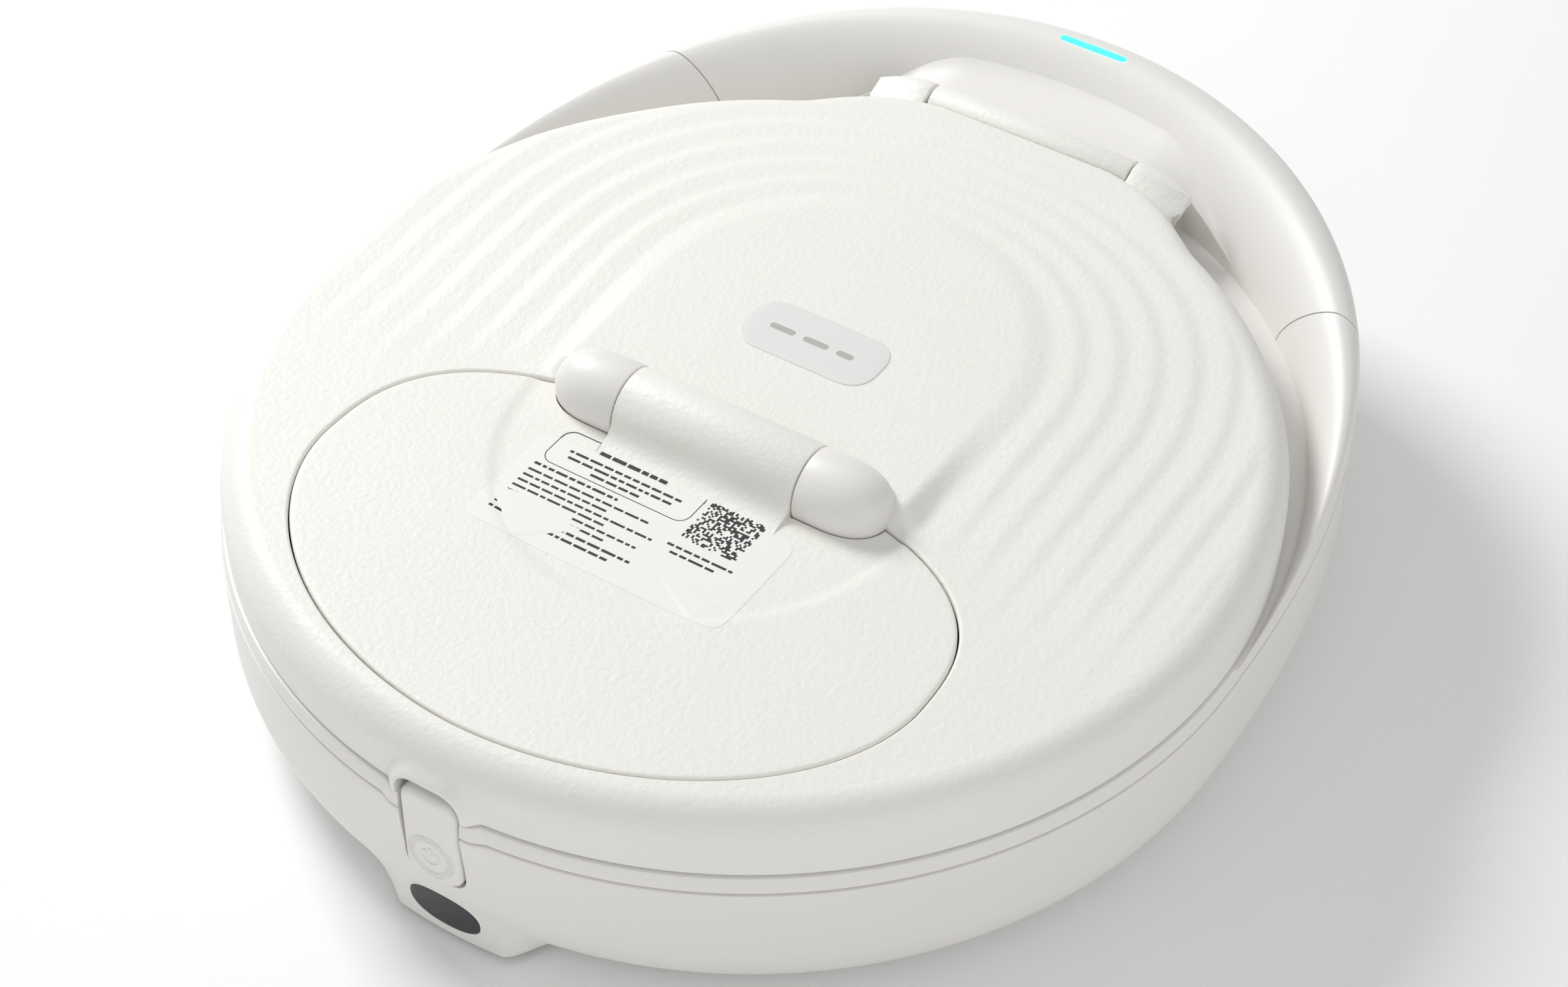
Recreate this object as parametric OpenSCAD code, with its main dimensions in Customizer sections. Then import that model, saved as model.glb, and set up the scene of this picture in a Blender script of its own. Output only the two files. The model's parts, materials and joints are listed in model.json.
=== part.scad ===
// Round automatic pet feeder: a low drum-shaped housing with a raised rear arch, a hinged
// top cover, a motorised feeding flap in the cover, and a turning food tray inside.
// Heights are measured from the face that the rubber feet stand on. Every sub-part is drawn
// about the turntable axis, and placed() then moves it so that the origin lies under the
// middle of the feeder. The front is -Y and the raised rear arch is +Y.

/* [Housing] */
// Radius of the round lower housing
drum_r = 162.6; // [158:0.2:168]
// Height of the joint between the housing and the cover
seam_h = 60; // [58:1:64]
// Wall thickness of the mouldings
wall = 2.6; // [2:0.1:3]
// Radius of the rounding under the lower housing
foot_round = 26; // [20:1:28]
// Height of the middle band that shows between the two joints
band_h = 6; // [5:0.5:8]

/* [Rear arch] */
// How far the arch reaches out behind the round housing
arch_reach = 57.5; // [50:0.5:62]
// Height of the arch's crest above the cover joint
arch_rise = 31.5; // [26:0.5:34]
// Radius of the arch's rounded crest at the back
arch_round = 15.2; // [13:0.1:16]

/* [Cover] */
// Radius of the cover's edge
cover_r = 160; // [158:0.2:160.4]
// Height of the flat top above the joint
cover_h = 21; // [20:0.5:23]
// Height of the raised round plateau above the flat top
plateau_h = 5.3; // [3:0.1:6]
// Radius of the plateau's round ends
plateau_r = 65; // [60:1:68]
// Width of each ripple step around the plateau
ripple_w = 11.7; // [8:0.1:11.8]

/* [Feeding flap] */
// Half of the flap's width
flap_a = 104; // [95:1:105]
// Depth of the flap in front of its widest place
flap_front = 75; // [65:1:76]
// Depth of the flap behind its widest place
flap_back = 60; // [55:1:60]
// Radius of the flap's hinge barrel
barrel_r = 12.2; // [10:0.1:12.5]
// Half of the barrel's length
barrel_half = 31.8; // [25:0.1:34]
// Half of the whole hinge, from cap end to cap end
caps_half = 58.5; // [54:0.5:60]

/* [Rear hinge] */
// Radius of the fixed rear barrel
rear_barrel_r = 6.2; // [5:0.1:6.4]
// Half of the rear barrel's length
rear_barrel_half = 37.5; // [30:0.5:38]

/* [Latch] */
// Width of the latch button
latch_w = 20; // [16:0.5:21]
// Height of the latch button
latch_h = 36; // [30:0.5:37]

/* [Tray and drive] */
// Radius of the food tray
tray_r = 140; // [130:1:142]
// Number of food compartments
bowls = 3; // [3, 4]
// Depth of each food compartment
bowl_depth = 25; // [18:1:25]
// Gear module of the turntable drive
gear_m = 1.5; // [1.5]
// Teeth on the turntable gear
gear_teeth = 48; // [48]
// Teeth on the motor pinion
pinion_teeth = 12; // [12]

/* [Hidden] */
$fn = 96;
slack = 0.5;                       // gap between mouldings that part or turn
pin_r = 2.5;                       // hinge pins
pin_play = 0.05;                   // running clearance of a pin in its bore
foot_h = 3;                        // height of the rubber feet
front_reach = 164.4;               // latch button face, the foremost point
rear_reach = drum_r + arch_reach;
axis_y = (front_reach - rear_reach) / 2;
housing_top = seam_h - band_h - slack;
deck_z = seam_h - 0.6;             // top of the middle band
well_r = 146;                      // inside radius of the food well
well_floor = 34.4;                 // upper face of the well's floor
top_z = seam_h + cover_h;
plateau_z = top_z + plateau_h;
plateau_back = 40;                 // centre of the plateau's rear round end
plateau_front = -24;               // centre of the round end that lies on the flap
ripples = 4;
flap_mid = -74;                    // widest place of the flap
flap_cut = -17;                    // straight rear edge of the flap
flap_axis = [0, -17.5, seam_h + 23.8];
rear_axis = [0, 165, seam_h + 18.5];
arch_seam = 140;                   // plane where the rear cap meets the shoulders
latch_mid = seam_h - 11.5;         // middle of the latch button
latch_axis = [0, -157, seam_h - 12];
latch_pin_r = 1.5;                 // pin that the latch button turns on
window_half = [13, 6.2];           // half width and half height of the display window
window_z = 12.6;                   // height of the middle of the display window
tray_z = 38.4;                     // underside of the food tray
skirt_top = seam_h + 7.5;          // where the cover's upright skirt meets its domed top
spindle_r = 6;                     // turntable spindle
gear_z = 23;                       // underside of the turntable gear
gear_h = 6;                        // thickness of the gears
gear_gap = (gear_teeth + pinion_teeth) * gear_m / 2;
drive_angle = 200;                 // direction of the motor from the spindle
fan_mid = [0, 184, 31];            // middle of the cooling fan
jack_angle = 73.5;                 // direction of the power inlet

white = [0.92, 0.92, 0.9];
shade_white = [0.86, 0.85, 0.84];
steel = [0.7, 0.71, 0.72];
board_green = [0.1, 0.35, 0.2];

// ---- shared shapes ----

module placed() { translate([0, axis_y, 0]) children(); }

module along_x(from, to, r) {
    translate([from, 0, 0]) rotate([0, 90, 0]) cylinder(h = to - from, r = r);
}

module box(lo, hi) { translate(lo) cube(hi - lo); }

module tube(lo, hi, r_in, r_out) {
    translate([0, 0, lo]) difference() {
        cylinder(h = hi - lo, r = r_out);
        translate([0, 0, -1]) cylinder(h = hi - lo + 2, r = r_in);
    }
}

function smooth(t) = let (u = min(max(t, 0), 1)) u * u * (3 - 2 * u);

// Plan radius of the housing: a circle that swells into the rear arch
function plan_r(a) = drum_r + arch_reach * pow(max(sin(a), 0), 2);

// How far the rounding under the housing draws it in at height z
function draw_in(z) = let (t = max(foot_round - (z - foot_h), 0))
    foot_round - sqrt(max(foot_round * foot_round - t * t, 0));

// Leaning front pad that carries the latch and the display window
function pad_r(z) = drum_r + 1 - (housing_top - z) * 0.11;
function pad_share(a) = smooth((12 - abs(270 - a)) / 5.5);

function housing_r(a, z) = let (r = plan_r(a) - draw_in(z))
    max(r, r + (pad_r(z) - r) * pad_share(a));

function ring(z, inset, n) = [for (i = [0:n - 1]) let (a = 360 * i / n, r = housing_r(a, z) - inset)
    [r * cos(a), r * sin(a)]];

// Closed skin through rings of equal point count; the last ring joins the first
module ring_skin(rings) {
    n = len(rings[0]);
    m = len(rings);
    points = [for (r = rings) for (p = r) p];
    faces = [for (j = [0:m - 1]) for (i = [0:n - 1]) let (k = (i + 1) % n, q = (j + 1) % m)
        each [[j * n + i, q * n + i, q * n + k], [j * n + i, q * n + k, j * n + k]]];
    polyhedron(points, faces, convexity = 8);
}

// Outline of the flap, grown by g: two half superellipses that meet at the widest place
function flap_outline(g, n = 96) = [for (i = [0:n - 1]) let (a = 360 * i / n,
    e = sin(a) > 0 ? 2.7 : 1.9, b = (sin(a) > 0 ? flap_back : flap_front) + g)
    [(flap_a + g) * sign(cos(a)) * pow(abs(cos(a)), 2 / e),
     flap_mid + b * sign(sin(a)) * pow(abs(sin(a)), 2 / e)]];

module flap_plan(lo, hi, g) {
    intersection() {
        translate([0, 0, lo]) linear_extrude(hi - lo) polygon(flap_outline(g));
        box([-130, -170, lo - 1], [130, flap_cut + g, hi + 1]);
    }
}

// Round bar with domed ends that the flap's hinge fills
module hinge_form(r, half) {
    translate(flap_axis) {
        along_x(r - half, half - r, r);
        for (s = [-1, 1]) translate([s * (half - r), 0, 0]) sphere(r = r);
    }
}

module stadium(lo, hi, r) {
    for (y = [plateau_front, plateau_back])
        translate([0, y, lo]) cylinder(h = hi - lo, r = r);
    box([-r, plateau_front, lo], [r, plateau_back, hi]);
}

// Involute spur gear outline
function involute(rb, t) = [rb * (cos(t) + t * PI / 180 * sin(t)), rb * (sin(t) - t * PI / 180 * cos(t))];
function turned(p, a) = [p[0] * cos(a) - p[1] * sin(a), p[0] * sin(a) + p[1] * cos(a)];
function gear_outline(teeth, play) =
    let (rp = gear_m * teeth / 2, rb = rp * cos(20), ra = rp + gear_m * 0.9, rf = rp - gear_m * 1.2,
        inv = tan(20) - 20 * PI / 180,
        half = 90 / teeth - play / rp * 90 / PI + inv * 180 / PI,
        t_end = sqrt(pow(ra / rb, 2) - 1) * 180 / PI,
        flank = concat([[min(rf, rb), 0]], [for (k = [0:3]) involute(rb, t_end * k / 3)]))
    [for (i = [0:teeth - 1]) let (a = 360 * i / teeth)
        each concat([for (k = [0:4]) turned(flank[k], a - half)],
            [for (k = [4:-1:0]) turned([flank[k][0], -flank[k][1]], a + half)])];

// ---- lower housing ----

module lower_shell() {
    n = 120;
    levels = [for (k = [0:6]) foot_h + foot_round * (1 - cos(90 * k / 6))];
    color(shade_white) placed() difference() {
        ring_skin(concat(
            [for (z = concat(levels, [housing_top])) [for (p = ring(z, 0, n)) [p[0], p[1], z]]],
            [for (k = [7:-1:1]) let (z = k == 7 ? housing_top : levels[k])
                [for (p = ring(z, wall, n)) [p[0], p[1], z]]],
            [[for (p = ring(levels[0], wall, n)) [p[0], p[1], levels[0]]]]));
        box([-latch_w / 2 - slack, -180, latch_mid - latch_h / 2 - 1.3],
            [latch_w / 2 + slack, -150, seam_h]);
        box([-28, 200, 20], [28, 230, 44]);
        window_form(6, 12, 0.15);
        rotate([0, 0, jack_angle]) translate([190, 0, 30]) rotate([0, 90, 0]) cylinder(h = 40, r = 6.5);
    }
}

module bottom_plate() {
    color(shade_white) placed() difference() {
        translate([0, 0, foot_h]) linear_extrude(wall) polygon(ring(foot_h, wall + slack, 120));
        for (p = foot_places()) translate([p[0], p[1], foot_h - 1]) cylinder(h = 1.8, r = 9);
    }
}

function foot_places() = [for (a = [45, 135, 225, 315]) let (r = plan_r(a) - 55) [r * cos(a), r * sin(a)]];

module rubber_feet() {
    color([0.25, 0.25, 0.26]) placed() for (p = foot_places())
        translate([p[0], p[1], 0]) cylinder(h = foot_h + 0.8, r = 9);
}

module bottom_screws() {
    color(steel) placed() for (a = [20, 90, 160, 250, 290]) {
        r = plan_r(a) - 45;
        translate([r * cos(a), r * sin(a), foot_h - 1.6]) cylinder(h = 1.6, r = 3.2);
    }
}

// Band, deck and food well in one form
module deck_and_well() {
    difference() {
        union() {
            difference() {
                translate([0, 0, housing_top + slack])
                    linear_extrude(deck_z - housing_top - slack) polygon(ring(seam_h, 0.6, 144));
                translate([0, 0, housing_top]) linear_extrude(3) polygon(ring(seam_h, 0.6 + wall, 144));
            }
            tube(well_floor - 2.4, deck_z - 1, well_r, well_r + 2.4);
            tube(well_floor - 2.4, well_floor, spindle_r, well_r + 1);
            tube(well_floor - 6, well_floor - 1, spindle_r, 14);
        }
        translate([0, 0, well_floor]) cylinder(h = 40, r = well_r);
        translate([0, 0, 20]) cylinder(h = 30, r = 9);
        box([-latch_w / 2 - slack, -180, 50], [latch_w / 2 + slack, -well_r - 2.4, 70]);
    }
}

module upper_housing() {
    color(shade_white) placed() intersection() {
        deck_and_well();
        box([-300, -300, housing_top], [300, 300, 200]);
    }
}

module food_well() {
    color(shade_white) placed() intersection() {
        deck_and_well();
        box([-300, -300, 0], [300, 300, housing_top]);
    }
}

// ---- rear arch ----

function arch_top(s) = arch_rise * pow(s, 1.6);
function arch_tube_r(s) = 0.25 + (arch_round - 0.25) * pow(s, 2.8);

// One section of the arch in the radial plane at angle a, drawn in by d: upright outer wall,
// round crest, and an inner slope that steepens down to the valley behind the cover
function arch_section(a, d) = let (s = sin(a), t = arch_tube_r(s) - d, r0 = plan_r(a) - d,
        top = seam_h + arch_top(s) - d, floor_z = deck_z - d / 2,
        foot = cover_r + 1.9 + 0.36 * arch_reach * s * s + d, across = r0 - t - foot)
    [for (p = concat([[r0, floor_z]],
        [for (k = [0:4]) [r0 - t * (1 - cos(22.5 * k)), top - t * (1 - sin(22.5 * k))]],
        [for (k = [1:7]) let (q = 90 * k / 7) [foot + across * (1 - pow(sin(q), 4 / 3)),
            floor_z + (top - floor_z) * pow(max(cos(q), 0), 4 / 3)]]))
        [p[0] * cos(a), p[0] * sin(a), p[1]]];

module arch_form(d, from, to, step) {
    sections = [for (a = [from:step:to]) arch_section(a, d)];
    n = len(sections[0]);
    m = len(sections);
    points = [for (s = sections) for (p = s) p];
    sides = [for (j = [0:m - 2]) for (i = [0:n - 1]) let (k = (i + 1) % n)
        each [[j * n + i, (j + 1) * n + k, (j + 1) * n + i], [j * n + i, j * n + k, (j + 1) * n + k]]];
    polyhedron(points, concat([[for (i = [n - 1:-1:0]) i]], sides,
        [[for (i = [0:n - 1]) (m - 1) * n + i]]), convexity = 6);
}

module arch_shoulders() {
    color(shade_white) placed() difference() {
        arch_form(0, 2, 178, 4);
        box([-300, arch_seam - 0.15, 0], [300, 300, 200]);
    }
}

module arch_cap() {
    color(shade_white) placed() difference() {
        arch_form(0, 30, 150, 4);
        arch_form(2.5, 42, 138, 4);
        box([-300, 0, 0], [300, arch_seam + 0.15, 200]);
        box([-300, 0, 0], [300, 300, deck_z + 0.01]);
        translate(light_place()) box([-13, -1.6, -6], [13, 1.6, 6]);
    }
}

function light_place() = [0, rear_reach - arch_round, seam_h + arch_rise];

module light_bar() {
    color([0.2, 0.9, 0.95]) placed() translate(light_place()) {
        box([-12.9, -1.5, -2.4], [12.9, 1.5, 0.05]);
        box([-14, -2.4, -5.6], [14, 2.4, -4]);
        box([-12, -1, -4.1], [12, 1, -2.3]);
    }
}

module light_board() {
    color(board_green) placed() translate(light_place()) box([-17, -4, -7.6], [17, 4, -5.8]);
}

module rear_hinge_block() {
    color(white) placed() difference() {
        union() {
            translate(rear_axis) along_x(-rear_barrel_half, rear_barrel_half, rear_barrel_r);
            translate([rear_barrel_half - 1, 0, 0]) rotate([0, -90, 0])
                linear_extrude(2 * rear_barrel_half - 2) polygon([[deck_z, 163.2], [seam_h + 14, 163.2],
                [seam_h + 23.6, 168], [seam_h + 20.5, 186.4], [seam_h + 17.8, 185], [seam_h + 15.3, 183],
                [seam_h + 10.5, 180.2], [seam_h + 6, 178.6], [deck_z, 177.5]]);
        }
        translate(rear_axis) along_x(-60, 60, pin_r + pin_play);
    }
}

module rear_hinge_pin() {
    color(steel) placed() translate(rear_axis) along_x(-47.5, 47.5, pin_r);
}

// ---- front display ----

function oval(w, h) = [for (i = [0:47]) let (a = 360 * i / 48)
    [w * sign(cos(a)) * pow(abs(cos(a)), 0.86), h * sign(sin(a)) * pow(abs(sin(a)), 0.86)]];

module window_form(depth, thick, g) {
    translate([0, -pad_r(window_z) + depth, window_z]) rotate([90, 0, 0])
        linear_extrude(thick) polygon(oval(window_half[0] + g, window_half[1] + g));
}

module display_window() {
    color([0.15, 0.13, 0.15]) placed() window_form(1.8, 2.6, 0);
}

module display_board() {
    color(board_green) placed() box([-16, -153, 6.5], [16, -151.4, 20]);
}

module main_board() {
    color(board_green) placed() {
        box([40, 60, 8], [110, 110, 9.6]);
        box([52, 70, 9.6], [64, 82, 12]);
        box([76, 88, 9.6], [100, 98, 18]);
    }
}

// ---- turntable drive ----

function drive_place() = [gear_gap * cos(drive_angle), gear_gap * sin(drive_angle), 0];

module drive_motor() {
    color(steel) placed() translate(drive_place()) {
        translate([0, 0, 8]) cylinder(h = gear_z - 10.5, r = 14);
        translate([0, 0, 19]) cylinder(h = gear_h + 7, r = 1.95);
    }
}

module motor_bracket() {
    color(steel) placed() translate(drive_place()) difference() {
        union() {
            box([-24, -8, foot_h + wall], [24, 8, foot_h + wall + 1.6]);
            tube(foot_h + wall, 18, 14.2, 16);
        }
        translate([0, 0, 7]) cylinder(h = 20, r = 14.1);
        for (s = [-1, 1]) translate([s * 20, 0, 0]) cylinder(h = 20, r = 1.6);
    }
}

module spindle_bearing() {
    color([0.3, 0.3, 0.32]) placed() tube(well_floor - 6, well_floor + 0.8, spindle_r + pin_play, 9);
}

module turntable() {
    color(shade_white) placed() {
        translate([0, 0, gear_z - 1]) cylinder(h = tray_z - gear_z, r = spindle_r);
        tube(well_floor + 1.4, tray_z, spindle_r - 1, 120);
        difference() {
            translate([0, 0, gear_z]) rotate([0, 0, drive_angle]) linear_extrude(gear_h - 1)
                polygon(gear_outline(gear_teeth, 0.3));
            for (i = [0:5]) rotate([0, 0, 60 * i]) translate([20, 0, 0]) cylinder(h = 60, r = 6);
        }
        translate([0, 0, tray_z - 1]) cylinder(h = 6, r = 8);
    }
}

module motor_pinion() {
    color([0.85, 0.82, 0.7]) placed() translate(drive_place()) difference() {
        translate([0, 0, gear_z - 1]) rotate([0, 0, drive_angle + 180 / pinion_teeth])
            linear_extrude(gear_h + 1) polygon(gear_outline(pinion_teeth, 0.3));
        cylinder(h = 60, r = 2);
    }
}

// Floor plan of one food compartment: a ring sector with parted sides
function sector(r_in, r_out, half, gap) = concat(
    [for (k = [0:16]) let (a = -half + 2 * half * k / 16, g = asin(gap / r_out) * (1 - 2 * k / 16))
        [r_out * cos(a + g), r_out * sin(a + g)]],
    [for (k = [0:6]) let (a = half - 2 * half * k / 6, g = asin(gap / r_in) * (2 * k / 6 - 1))
        [r_in * cos(a + g), r_in * sin(a + g)]]);

module food_tray() {
    color([0.8, 0.84, 0.86]) placed() difference() {
        union() {
            translate([0, 0, tray_z]) cylinder(h = bowl_depth + 2.2, r = tray_r - 4);
            translate([0, 0, tray_z + bowl_depth]) cylinder(h = 2.2, r = tray_r);
        }
        for (i = [0:bowls - 1]) rotate([0, 0, 270 + 360 * i / bowls])
            translate([0, 0, tray_z + 2.2]) linear_extrude(bowl_depth + 10)
                polygon(sector(24, tray_r - 6.5, 180 / bowls, 2.6));
        translate([0, 0, tray_z - 1]) cylinder(h = 7, r = 8.3);
    }
}

// ---- latch ----

module latch_pocket() {
    x = latch_w / 2;
    color(shade_white) placed() difference() {
        box([-x - 2.2, -155.6, latch_mid - latch_h / 2 - 2], [x + 2.2, -149, housing_top - 0.2]);
        box([-x - 0.4, -160, latch_mid - latch_h / 2 - 0.4], [x + 0.4, -150.6, seam_h]);
        translate(latch_axis + [0, 2, 0]) along_x(-30, 30, latch_pin_r + 0.02);
    }
}

module latch_pin() {
    color(steel) placed() translate(latch_axis + [0, 2, 0])
        along_x(-latch_w / 2 - 2, latch_w / 2 + 2, latch_pin_r);
}

module latch_spring() {
    turns = 5;
    n = 12;
    sides = 6;
    centres = [for (i = [0:turns * n]) let (a = 360 * i / n)
        [-4 + 8 * i / (turns * n), 2.9 * cos(a), 2.9 * sin(a), a]];
    points = [for (c = centres) for (k = [0:sides - 1]) let (b = 360 * k / sides)
        [c[0] + 0.45 * sin(b), c[1] + 0.45 * cos(b) * cos(c[3]), c[2] + 0.45 * cos(b) * sin(c[3])]];
    m = len(centres);
    color(steel) placed() translate(latch_axis + [0, 2, 0]) polyhedron(points, concat(
        [[for (k = [0:sides - 1]) k]],
        [for (j = [0:m - 2]) for (k = [0:sides - 1]) let (q = (k + 1) % sides)
            each [[j * sides + k, (j + 1) * sides + k, (j + 1) * sides + q],
                [j * sides + k, (j + 1) * sides + q, j * sides + q]]],
        [[for (k = [sides - 1:-1:0]) (m - 1) * sides + k]]), convexity = 10);
}

// Face of the latch button: square below, rounded above
function latch_face(w, h, r) = concat(
    [[-w / 2, -h / 2 + 3], [-w / 2 + 3, -h / 2], [w / 2 - 3, -h / 2], [w / 2, -h / 2 + 3]],
    [for (k = [0:8]) [w / 2 - r + r * cos(90 * k / 8), h / 2 - r + r * sin(90 * k / 8)]],
    [for (k = [0:8]) [-w / 2 + r - r * sin(90 * k / 8), h / 2 - r + r * cos(90 * k / 8)]]);

module latch_button() {
    color(white) placed() difference() {
        union() {
            translate([0, -front_reach + 3.6, latch_mid]) rotate([90, 0, 0])
                linear_extrude(3.6) polygon(latch_face(latch_w, latch_h, 7));
            for (s = [-1, 1]) translate(latch_axis + [0, 2, 0]) {
                along_x(s * 7.5 - 1.5, s * 7.5 + 1.5, 3);
                box([s * 7.5 - 1.5, -7, -3], [s * 7.5 + 1.5, 0, 3]);
            }
            box([-5, -front_reach + 3, seam_h + 2], [5, -156.2, seam_h + 4]);
        }
        translate(latch_axis + [0, 2, 0]) along_x(-30, 30, latch_pin_r + pin_play);
    }
}

// ---- power and cooling ----

module power_jack() {
    color([0.15, 0.15, 0.16]) placed() rotate([0, 0, jack_angle]) translate([0, 0, 30]) difference() {
        union() {
            translate([192, 0, 0]) rotate([0, 90, 0]) cylinder(h = plan_r(jack_angle) - 194, r = 6);
            box([186, -7, -7], [194, 7, 7]);
        }
        translate([plan_r(jack_angle) - 12, 0, 0]) rotate([0, 90, 0]) cylinder(h = 20, r = 2.8);
    }
}

module cold_plate() {
    color([0.8, 0.81, 0.82]) placed() difference() {
        box([-26, 142, 36], [26, 153, 54]);
        translate([0, 0, 20]) cylinder(h = 50, r = well_r + 2.4, $fn = 360);
    }
}

module cooling_module() {
    color([0.93, 0.93, 0.9]) placed() box([-15, 153.1, 37], [15, 156.9, 53.4]);
}

module heat_sink() {
    color([0.75, 0.76, 0.78]) placed() {
        box([-20, 157, 12], [20, 160, 52]);
        for (i = [0:8]) translate([-20 + 4.8 * i, 0, 0]) box([0, 159.9, 12], [1.5, 177, 52]);
    }
}

module fan_frame() {
    color([0.12, 0.12, 0.13]) placed() translate(fan_mid) difference() {
        box([-20, -5.5, -20], [20, 5.5, 20]);
        rotate([90, 0, 0]) translate([0, 0, -3.5]) cylinder(h = 20, r = 18.6);
        rotate([90, 0, 0]) translate([0, 0, -10]) tube(0, 20, 10, 18.6);
        for (x = [-16.5, 16.5], z = [-16.5, 16.5])
            translate([x, 10, z]) rotate([90, 0, 0]) cylinder(h = 20, r = 1.7);
    }
}

module fan_rotor() {
    color([0.2, 0.2, 0.22]) placed() translate(fan_mid) rotate([90, 0, 0]) {
        translate([0, 0, -3]) cylinder(h = 8, r = 9);
        for (i = [0:6]) rotate([0, 0, 360 * i / 7]) translate([8, -0.6, -2])
            rotate([35, 0, 0]) cube([9.6, 1.4, 7]);
    }
}

module rear_grille() {
    color([0.2, 0.2, 0.21]) placed() difference() {
        box([-32, 208, 17], [32, 210.4, 47]);
        for (i = [0:4]) box([-26, 190, 20 + 5 * i], [26, 220, 23 + 5 * i]);
    }
}

// ---- cover ----

// Half profile of the cover, drawn in by d: straight wall, round shoulder and flat top
function cover_profile(d) = let (r = 12 - d) concat(
    [[cover_r - d, 0], [cover_r + 1.4 - d, cover_h - 12]],
    [for (k = [1:8]) [cover_r + 1.4 - 12 + r * cos(90 * k / 8), cover_h - 12 + r * sin(90 * k / 8)]]);

module dome(d, lo) {
    profile = cover_profile(d);
    translate([0, 0, seam_h]) rotate_extrude($fn = 144)
        polygon(concat([[0, lo], [cover_r - d, lo]], profile, [[0, cover_h - d]]));
}

// Domed top, ripples, knuckles and upright skirt of the cover in one form
module cover_form() {
    reach = cover_r - 12;
    difference() {
        union() {
            difference() {
                dome(0, 0);
                translate([0, 0, -1]) dome(wall, 0);
                dome(wall, -2);
            }
            intersection() {
                union() for (i = [0:ripples])
                    stadium(top_z - 0.5, plateau_z - plateau_h * i / (ripples + 1), plateau_r + ripple_w * i);
                translate([0, 0, seam_h]) cylinder(h = 60, r = reach);
                box([-200, -8, 0], [200, 200, 200]);
            }
            for (s = [-1, 1]) translate([s * 44, 0, 0]) {
                translate(rear_axis) along_x(-3, 3, 6);
                box([-3, 148, rear_axis[2] - 6], [3, rear_axis[1], rear_axis[2] + 2]);
            }
            box([-50, 149, seam_h + 11], [50, 158, seam_h + 22.3]);
        }
        intersection() {
            stadium(seam_h, plateau_z - wall, plateau_r - wall);
            box([-200, 2, 0], [200, 200, 200]);
        }
        flap_plan(seam_h, 200, slack);
        hinge_form(barrel_r, caps_half);
        translate(flap_axis) along_x(-barrel_half - 0.4, barrel_half + 0.4, barrel_r + slack);
        translate(rear_axis) {
            along_x(-rear_barrel_half - 3, rear_barrel_half + 3, rear_barrel_r + 0.7);
            along_x(-60, 60, pin_r + pin_play);
        }
        box([-latch_w / 2 - 0.8, -170, 0], [latch_w / 2 + 0.8, -155.7, seam_h + 1]);
        translate([0, -155.7, seam_h + 0.9]) rotate([90, 0, 0]) linear_extrude(20)
            polygon(latch_face(latch_w + 1.6, 14, 6.5));
    }
}

module cover_shell() {
    color(white) placed() intersection() {
        cover_form();
        box([-300, -300, skirt_top], [300, 300, 200]);
    }
}

module cover_skirt() {
    color(white) placed() intersection() {
        cover_form();
        box([-300, -300, 0], [300, 300, skirt_top]);
    }
}

module cover_liner() {
    color(white) placed() difference() {
        union() {
            translate([0, 0, seam_h + 14]) cylinder(h = 2, r = 149.5);
            intersection() {
                flap_plan(seam_h + 14, top_z - wall, 4);
                translate([0, 0, seam_h]) cylinder(h = 60, r = 148);
            }
        }
        flap_plan(seam_h, 200, 1.6);
        hinge_form(barrel_r + 1.5, caps_half + 1.5);
        box([-52, 144, 0], [52, 170, 200]);
        box([-70, -170, 0], [70, -120, 200]);
    }
}

module gasket_carrier() {
    color(white) placed() difference() {
        tube(seam_h + 1.5, top_z - wall - 0.6, 149.5, 151);
        box([-52, 140, 0], [52, 160, 200]);
    }
}

module cover_gasket() {
    color([0.6, 0.6, 0.6]) placed() difference() {
        tube(seam_h - 0.3, seam_h + 1.5, 148.7, 151.3);
        box([-52, 140, 0], [52, 160, 200]);
    }
}

module cover_catch() {
    x = latch_w / 2 + 3;
    color(shade_white) placed() difference() {
        box([-x, -155.6, seam_h + 0.8], [x, -151.6, seam_h + 12]);
        box([-x + 2, -153.9, seam_h], [x - 2, -150, seam_h + 10]);
    }
}

module hinge_caps() {
    color(white) placed() difference() {
        hinge_form(barrel_r, caps_half);
        translate(flap_axis) {
            along_x(-barrel_half - 0.3, barrel_half + 0.3, barrel_r + 2);
            along_x(-barrel_half - 14, barrel_half + 16, 6.6);
        }
    }
}

module flap_hinge_pin() {
    color(steel) placed() translate(flap_axis) {
        along_x(-barrel_half - 13, barrel_half + 1.5, pin_r);
        along_x(-barrel_half - 13, -barrel_half - 1, 6.5);
    }
}

module flap_motor() {
    color(steel) placed() translate(flap_axis) along_x(barrel_half + 1.6, barrel_half + 15, 6.5);
}

function rounded_box(w, h, r) = [for (c = [[1, 1, 0], [-1, 1, 90], [-1, -1, 180], [1, -1, 270]])
    for (k = [0:6]) let (q = c[2] + 15 * k)
        [c[0] * (w / 2 - r) + r * cos(q), c[1] * (h / 2 - r) + r * sin(q)]];

module badge_plate() {
    color([0.88, 0.88, 0.87]) placed() translate([0, 33, plateau_z])
        linear_extrude(0.5) polygon(rounded_box(46, 22, 10));
}

module cover_screws() {
    color(steel) placed() for (a = [15, 60, 120, 165])
        rotate([0, 0, a]) translate([138, 0, seam_h + 12.4]) cylinder(h = 1.5, r = 3);
}

// ---- feeding flap ----

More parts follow.
